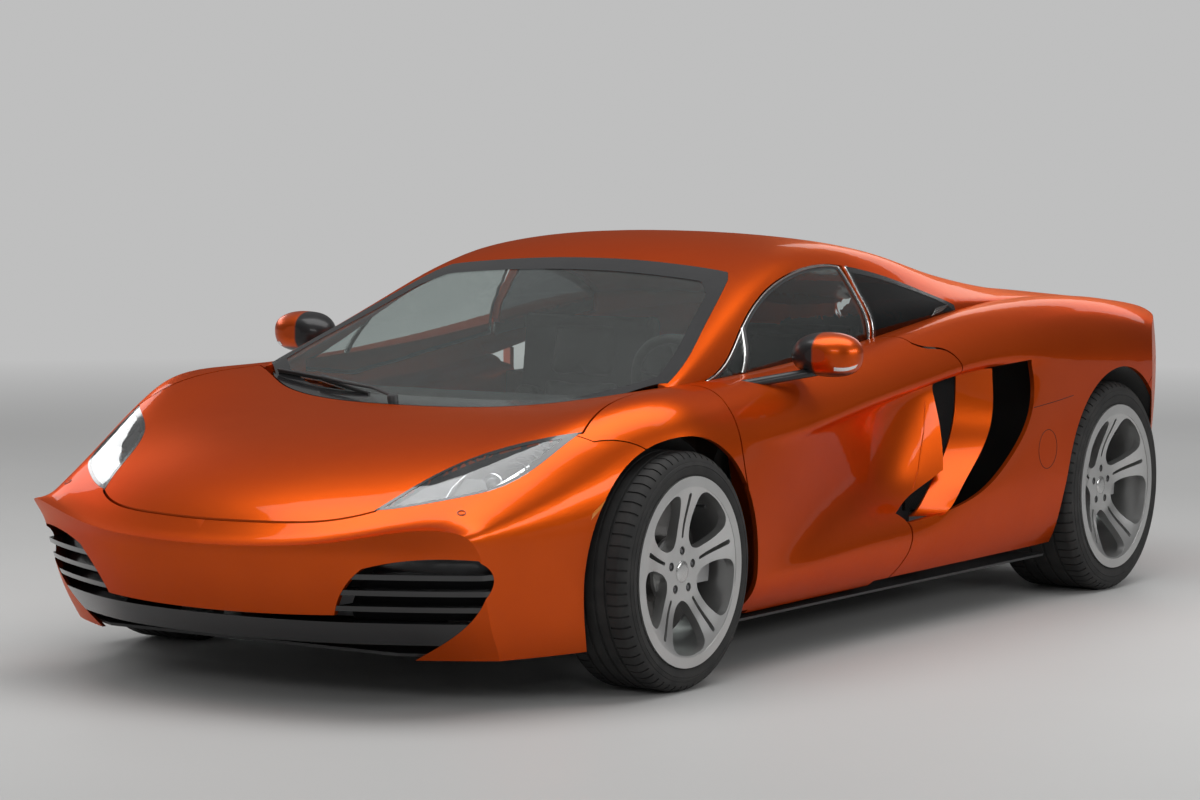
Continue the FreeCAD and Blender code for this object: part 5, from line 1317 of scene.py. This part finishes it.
@dataclass
class BodyDetails(SubAssembly):
    """Small things on the painted panels: markers, sensors, flaps, creases and mirror parts."""

    marker_corners: Places = ((0.849, -1.650, 0.488), (0.866, -1.621, 0.514), (0.872, -1.603, 0.538),
                              (0.850, -1.644, 0.505))
    marker_wall: float = 0.003
    front_sensor: Place = (0.6701, -1.9787, 0.5229)
    rear_sensors: Places = ((0.30, 2.20, 0.50), (0.62, 2.20, 0.50))
    sensor_face: Profile = ((0.0001, 0.0010), (0.00828, 0.0009), (0.0092, 0.0002), (0.0092, -0.004))
    sensor_ring: Profile = ((0.00943, -0.001), (0.00966, 0.0009), (0.01127, 0.0009), (0.0115, -0.001))
    flap_place: Place = (0.9496, 0.8246, 0.5068)
    flap_radius: float = 0.062
    flap_steps: int = 64
    seam: Places = ((0.9352, 0.7281, 0.6427), (0.9430, 0.82, 0.6510), (0.9491, 0.9064, 0.6584),
                    (0.945, 1.00, 0.668))
    seam_radius: float = 0.0010
    flap_seam_radius: float = 0.0011
    door_crease: Places = ((0.8076, 0.2587, 0.6862), (0.821, 0.2297, 0.5996), (0.8386, 0.1615, 0.4829),
                           (0.850, 0.090, 0.400))
    crease_radius: float = 0.0018
    glass_inset: Place = (0.034, 0.02, 0.058)
    glass_half: tuple[float, float] = (0.070, 0.040)
    glass_squareness: float = 0.75
    repeater: Places = ((0.995, -0.640, 0.824), (1.040, -0.590, 0.838), (1.044, -0.585, 0.850),
                        (1.000, -0.650, 0.836))
    repeater_wall: float = 0.002

    def build(self) -> None:
        """Adds the details of both sides."""
        for label, side in SIDES:
            bumper = Skin("front_bumper", lambda normal, middle, side=side: (
                middle.x * side > 0 and normal.x * side > -0.2))
            self.marker(label, side, bumper)
            self.sensor("sensor_front_" + label, on_side(side, self.front_sensor)[0], bumper)
            self.flap(label, side)
            self.crease(label, side)
            self.mirror(label, side)
            rear = Skin("rear_bumper", lambda normal, middle, side=side: middle.x * side > 0)
            for k, place in enumerate(on_side(side, *self.rear_sensors)):
                self.sensor("sensor_rear_%s_%d" % (label, k + 1), place, rear)

    def marker(self, label: str, side: float, skin: Skin) -> None:
        """Adds the amber wedge ahead of the wheel.

        Args:
            label: the side's name.
            side: 1 on the left and -1 on the right.
            skin: the front bumper's outer face.
        """
        wedge = thickened(skin.patch(on_side(side, *self.marker_corners), 0.0016, 10, 4), self.marker_wall)
        self.piece("side_marker_" + label, wedge, AMBER)

    def sensor(self, name: str, place: Vector, skin: Skin) -> None:
        """Adds a round sensor with the dark ring round it.

        Args:
            name: the piece's plain name.
            place: a point near it.
            skin: the bumper's outer face.
        """
        at, axis = skin.lay(place, 0.0), skin.normal(place)
        disc = turned(self.sensor_face, at, axis, 32)
        self.piece(name, disc, PAINT)
        ring = turned(self.sensor_ring, at, axis, 32)
        self.piece(name + "_ring", ring, SATIN_BLACK)

    def flap(self, label: str, side: float) -> None:
        """Adds the seam of the round flap behind the side intake, on the left, and a fold on both sides.

        Args:
            label: the side's name.
            side: 1 on the left and -1 on the right.
        """
        skin = Skin("rear_quarters", lambda normal, middle: middle.x * side > 0.3)
        if side > 0:
            turns = [math.tau * k / self.flap_steps for k in range(self.flap_steps)]
            circle = [skin.lay(Vector(self.flap_place) + Vector((0, math.cos(a), math.sin(a)))
                               * self.flap_radius, -0.0002) for a in turns]
            self.line("filler_flap_seam", circle, self.flap_seam_radius, SEAM_BLACK, closed=True)
        seam = skin.path(on_side(side, *self.seam), 0.0)
        self.line("quarter_seam_" + label, seam, self.seam_radius, SEAM_BLACK)

    def crease(self, label: str, side: float) -> None:
        """Adds the raised line along the door's rear flange.

        Args:
            label: the side's name.
            side: 1 on the left and -1 on the right.
        """
        skin = Skin("door_" + label, lambda normal, middle: normal.x * side > 0)
        path = skin.path(on_side(side, *self.door_crease), -0.0004)
        self.line("door_crease_" + label, path, self.crease_radius, PAINT, door_body(side))

    def mirror(self, label: str, side: float) -> None:
        """Adds the mirror's glass and its indicator.

        Args:
            label: the side's name.
            side: 1 on the left and -1 on the right.
        """
        skin = Skin("mirror_" + label)
        low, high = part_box("mirror_" + label)
        out, behind, under = self.glass_inset
        middle = Vector(((low[0] + high[0]) / 2 + out * side, high[1] + behind, high[2] - under))
        bm = bmesh.new()
        bmesh.ops.create_circle(bm, cap_ends=True, segments=48, radius=1.0)
        bmesh.ops.inset_region(bm, faces=bm.faces, thickness=0.06, depth=-0.01)
        bmesh.ops.subdivide_edges(bm, edges=bm.edges, cuts=1)
        for v in bm.verts:
            wide, tall = (math.copysign(abs(part) ** self.glass_squareness, part) * half
                          for part, half in zip(v.co.xy, self.glass_half))
            v.co = skin.lay(middle + Vector((wide, 0, tall)), 0.0006)
        glass = self.piece("mirror_glass_" + label, bm, CHROME, door_body(side))
        repeat = thickened(skin.patch(on_side(side, *self.repeater), 0.0010, 8, 3), self.repeater_wall)
        self.piece("mirror_repeater_" + label, repeat, CHROME, door_body(side))


@dataclass
class Cushion(SubAssembly):
    """One stuffed pad, swelled by a short cloth simulation."""

    name: str
    low: Vector
    high: Vector
    lean: float = 0.0
    pivot: Vector = field(default_factory=Vector)
    edge_share: float = 0.32
    swell: float = 0.012
    voxel: float = 0.008
    pressure: float = 4.0
    frames: int = 20

    def build(self) -> None:
        """Makes the pad and its finish."""
        bm = bmesh.new()
        size, middle = self.high - self.low, (self.high + self.low) / 2
        block = Matrix.Translation(middle) @ Matrix.Diagonal((*size, 1.0))
        bmesh.ops.create_cube(bm, size=1.0, matrix=block)
        bmesh.ops.bevel(bm, geom=bm.edges, affect="EDGES", offset=min(size) * self.edge_share, segments=3,
                        profile=0.5, material=-1)
        turn = (Matrix.Translation(self.pivot) @ Matrix.Rotation(self.lean, 4, "X")
                @ Matrix.Translation(-self.pivot))
        bmesh.ops.transform(bm, matrix=turn, verts=bm.verts)
        pad = self.piece(self.name, bm, LEATHER, Body.CHASSIS, 60.0)
        self.remesh(pad)
        self.stuff(pad)

    def remesh(self, pad: bpy.types.Object) -> None:
        """Rebuilds the pad from even small faces.

        Args:
            pad: the pad.
        """
        modifier = pad.modifiers.new("even", "REMESH")
        modifier.mode, modifier.voxel_size = "VOXEL", self.voxel
        self.bake(pad)

    def bake(self, pad: bpy.types.Object) -> None:
        """Applies every modifier to the pad's mesh.

        Args:
            pad: the pad.
        """
        shown = pad.evaluated_get(bpy.context.evaluated_depsgraph_get())
        mesh = bpy.data.meshes.new_from_object(shown)
        materials = list(pad.data.materials)
        pad.modifiers.clear()
        pad.data = mesh
        mesh.materials.clear()
        for material in materials:
            mesh.materials.append(material)
        mesh.shade_smooth()

    def stuff(self, pad: bpy.types.Object) -> None:
        """Swells the pad under pressure and holds each point near its start.

        Args:
            pad: the pad.
        """
        start = [v.co.copy() for v in pad.data.vertices]
        cloth = pad.modifiers.new("stuffing", "CLOTH")
        cloth.settings.use_pressure = True
        cloth.settings.uniform_pressure_force = self.pressure
        cloth.settings.effector_weights.gravity = 0.0
        cloth.point_cache.frame_start, cloth.point_cache.frame_end = 1, self.frames
        for frame_number in range(1, self.frames + 1):
            bpy.context.scene.frame_set(frame_number)
        self.bake(pad)
        for v, first in zip(pad.data.vertices, start):
            moved = v.co - first
            if moved.length > self.swell:
                v.co = first + moved.normalized() * self.swell
        pad.data.update()


@dataclass
class Seats(SubAssembly):
    """The two seats: one shell each, with cushions, bolsters, backrest and headrest."""

    centre_x: float = 0.365
    shrink: float = 0.012
    hinge_y: float = 0.0135
    hinge_z: float = 0.314
    flat: float = math.radians(-4.0)
    back: float = math.radians(-12.5)

    def build(self) -> None:
        """Builds the shells and the pads on them."""
        shells = merged("seats", lambda normal, middle: True)
        shells.normal_update()
        for v in shells.verts:
            v.co -= v.normal * self.shrink
        made = self.piece("seat_shells", shells, SOFT_PLASTIC)
        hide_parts("seats")
        for label, side in SIDES:
            middle = Vector((self.centre_x * side, 0, 0))
            hinge = middle + Vector((0, self.hinge_y, self.hinge_z))
            for part, low, high, lean in self.pads():
                Cushion("seat_%s_%s" % (part, label), middle + Vector(low), middle + Vector(high), lean,
                        hinge).build()

    def pads(self) -> list[tuple[str, Place, Place, float]]:
        """Lists the pads of one seat.

        Returns:
            Each pad's name, low corner, high corner and lean, about the seat's middle.
        """
        return [("cushion", (-0.146, -0.328, 0.262), (0.146, 0.020, 0.318), self.flat),
                ("bolster_inner", (-0.226, -0.322, 0.256), (-0.152, 0.020, 0.346), self.flat),
                ("bolster_outer", (0.152, -0.322, 0.256), (0.226, 0.020, 0.346), self.flat),
                ("backrest", (-0.146, 0.012, 0.342), (0.146, 0.072, 0.716), self.back),
                ("side_inner", (-0.226, -0.022, 0.342), (-0.152, 0.070, 0.690), self.back),
                ("side_outer", (0.152, -0.022, 0.342), (0.226, 0.070, 0.690), self.back),
                ("headrest", (-0.112, 0.004, 0.734), (0.112, 0.066, 0.896), self.back)]


@dataclass
class Cockpit(SubAssembly):
    """What shows of the dashboard and the steering wheel."""

    hood: Profile = ((0.0001, 0.0), (0.060, 0.0), (0.150, -0.012), (0.175, -0.030), (0.180, -0.085))
    hood_x: float = 0.370
    hood_inset: tuple[float, float] = (0.075, 0.062)
    hood_axis: Place = (0, -0.25, 0.97)
    hood_end: float = 0.02
    vents: tuple[float, ...] = (0.545, 0.13, -0.13, -0.545)
    vent: Profile = ((0.0001, -0.004), (0.010, -0.003), (0.012, -0.006), (0.026, -0.006), (0.029, 0.002),
                     (0.034, 0.0025), (0.035, -0.004))
    vent_place: tuple[float, float] = (0.05, 0.075)
    screen: Places = ((-0.060, 0.03, -0.215), (0.060, 0.03, -0.215), (0.060, 0.03, -0.095),
                      (-0.060, 0.03, -0.095))
    wheel_axis: Place = (0, 0.927184, 0.374607)
    wheel_hub: Place = (0.370, -0.4285, 0.735)
    pad: Profile = ((0.0001, 0.026), (0.030, 0.025), (0.052, 0.020), (0.064, 0.010), (0.066, -0.010))
    pad_lift: float = 0.004

    def build(self) -> None:
        """Adds the instrument hood, the screen, the vents and the wheel's pad."""
        _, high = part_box("dashboard")
        skin = Skin("dashboard", lambda normal, middle: True)
        ahead, under = self.hood_inset
        hood = turned(self.hood, Vector((self.hood_x, high[1] - ahead, high[2] - under)),
                      Vector(self.hood_axis).normalized(), 40)
        for v in hood.verts:
            v.co.y = min(v.co.y, high[1] - self.hood_end)
        self.piece("instrument_hood", hood, SOFT_PLASTIC)
        behind, under = self.vent_place
        for k, x in enumerate(self.vents):
            centre = skin.lay(Vector((x, high[1] + behind, high[2] - under)), 0.0)
            vent = turned(self.vent, centre, Vector((0, 1, 0)), 32)
            self.piece("air_vent_%d" % (k + 1), vent, SATIN_BLACK)
        corners = [Vector((x, high[1] + y, high[2] + z)) for x, y, z in self.screen]
        self.piece("centre_screen", skin.patch(corners, 0.0015), GLOSS_BLACK)
        axis = Vector(self.wheel_axis)
        pad = turned(self.pad, Vector(self.wheel_hub) + axis * self.pad_lift, axis, 40)
        self.piece("steering_pad", pad, LEATHER, Body.STEERING_WHEEL)


def dress_nodes() -> None:
    """Gives every CAD node its finish."""
    for name, node in NODES.items():
        finish = NODE_FINISHES[name]
        node.data.materials.clear()
        node.data.materials.append(finish.material())
        LOG.info("%s wears %s", name, finish.name)


@dataclass
class Studio:
    """The pale floor, the soft lamps, the world and the camera."""

    lens: float = 104.21
    sensor: float = 36.0
    far_clip: float = 200.0
    camera_place: Vector = field(default_factory=lambda: Vector((5.8305, -9.1505, 1.4647)))
    yaw: float = -0.58388
    pitch: float = -0.073497
    roll: float = 0.0065127
    floor_color: Color = (0.46, 0.46, 0.455)
    floor_radius: float = 40.0
    fade_from: float = 4.5
    fade_to: float = 13.0
    pale: float = 0.52
    gloss_low: float = 0.05
    gloss_high: float = 0.27
    gloss_top: float = 0.8
    fill: float = 0.45

    def floor(self) -> None:
        """A wide floor that shows pale to the camera and keeps the shadow."""
        bm = bmesh.new()
        bmesh.ops.create_circle(bm, cap_ends=True, segments=96, radius=self.floor_radius)
        mesh = bpy.data.meshes.new("floor")
        bm.to_mesh(mesh)
        bm.free()
        floor = bpy.data.objects.new("floor", mesh)
        bpy.context.scene.collection.objects.link(floor)
        material = Finish("studio_floor", self.floor_color, tint_share=0.98, roughness=0.55, spread=0.1,
                          patch=0.8, grain=200.0, depth=0.0002, specular=0.3).material()
        self.fade(material)
        mesh.materials.append(material)

    def fade(self, material: bpy.types.Material) -> None:
        """Turns the floor into the pale of the room where it is far from the car.

        Args:
            material: the floor's material.
        """
        w = Wiring(material.node_tree)
        far = w.node("ShaderNodeVectorMath", operation="LENGTH")
        w.feed(far.inputs[0], w.where())
        glow = w.node("ShaderNodeEmission")
        glow.inputs["Strength"].default_value = self.pale
        mix = w.node("ShaderNodeMixShader")
        w.feed(mix.inputs[0], w.ramp(far.outputs["Value"], self.fade_from, self.fade_to))
        w.feed(mix.inputs[1], material.node_tree.nodes["Principled BSDF"].outputs[0])
        w.feed(mix.inputs[2], glow.outputs[0])
        w.feed(material.node_tree.nodes["Material Output"].inputs["Surface"], mix.outputs[0])

    def world(self) -> None:
        """A soft even light that is seen as a pale room."""
        world = bpy.data.worlds.new("studio_world")
        bpy.context.scene.world = world
        world.use_nodes = True
        w = Wiring(world.node_tree)
        background = world.node_tree.nodes["Background"]
        path = w.node("ShaderNodeLightPath")
        parts = w.node("ShaderNodeSeparateXYZ")
        w.feed(parts.inputs[0], w.node("ShaderNodeTexCoord").outputs["Generated"])
        glow = w.ramp(parts.outputs[2], 0.0, self.gloss_top, self.gloss_low, self.gloss_high)
        seen = w.maths("MAXIMUM", path.outputs["Is Camera Ray"], path.outputs["Is Transmission Ray"])
        glossy = w.maths("MULTIPLY", path.outputs["Is Glossy Ray"], w.maths("SUBTRACT", 1.0, seen))
        rest = w.maths("SUBTRACT", w.maths("SUBTRACT", 1.0, seen), glossy)
        shown = w.maths("ADD", w.maths("MULTIPLY", seen, self.pale), w.maths("MULTIPLY", glossy, glow))
        w.feed(background.inputs["Strength"], w.maths("ADD", shown, w.maths("MULTIPLY", rest, self.fill)))
        background.inputs["Color"].default_value = (1.0, 1.0, 1.0, 1.0)

    def lamp(self, name: str, place: tuple, aim: tuple, size: tuple, power: float) -> None:
        """A soft rectangular lamp aimed at a point.

        Args:
            name: the lamp's name.
            place: where it hangs.
            aim: the point that it faces.
            size: its width and height.
            power: its power in watts.
        """
        data = bpy.data.lights.new(name, "AREA")
        data.shape = "RECTANGLE"
        data.size, data.size_y = size
        data.energy = power
        lamp = bpy.data.objects.new(name, data)
        bpy.context.scene.collection.objects.link(lamp)
        lamp.location = place
        lamp.rotation_euler = (Vector(aim) - Vector(place)).to_track_quat("-Z", "Y").to_euler()

    def camera(self) -> None:
        """The camera of the photograph."""
        data = bpy.data.cameras.new("photo_camera")
        data.lens, data.sensor_width = self.lens, self.sensor
        data.clip_end = self.far_clip
        camera = bpy.data.objects.new("photo_camera", data)
        bpy.context.scene.collection.objects.link(camera)
        level = math.cos(self.pitch)
        ahead = Vector((math.sin(self.yaw) * level, math.cos(self.yaw) * level, math.sin(self.pitch)))
        right = ahead.cross(Vector((0, 0, 1))).normalized()
        up = right.cross(ahead)
        across = right * math.cos(self.roll) + up * math.sin(self.roll)
        risen = up * math.cos(self.roll) - right * math.sin(self.roll)
        axes = Matrix((across, risen, -ahead)).transposed().to_4x4()
        camera.matrix_world = Matrix.Translation(self.camera_place) @ axes
        bpy.context.scene.camera = camera

    def build(self) -> None:
        """Sets up the whole studio."""
        self.floor()
        self.world()
        self.lamp("softbox_above", (0.5, -0.6, 4.6), (0, 0, 0.4), (6.5, 3.2), 215.0)
        self.lamp("softbox_nose", (2.5, -7.5, 3.2), (0.2, -1.5, 0.5), (4.0, 1.0), 60.0)
        self.lamp("strip_left", (6.5, 0.8, 2.4), (0.8, 0.4, 0.5), (5.0, 0.9), 98.0)
        self.lamp("strip_right", (-6.0, 0.5, 3.0), (0, 0, 0.6), (5.0, 1.4), 60.0)
        self.lamp("softbox_tail", (-1.0, 7.0, 3.0), (0, 1.5, 0.6), (4.0, 1.6), 42.0)
        self.camera()
        bpy.context.scene.view_settings.view_transform = "Standard"


def main() -> None:
    """Builds the dressed car and its studio."""
    logging.basicConfig(level=logging.INFO, format="%(name)s: %(message)s")
    dress_nodes()
    for corner in CORNERS:
        Tyre(corner).build()
        WheelParts(corner).build()
    for assembly in (Headlamps(), Glazing(), BodyDetails(), Seats(), Cockpit()):
        assembly.build()
    Studio().build()


if __name__ == "__main__":
    main()
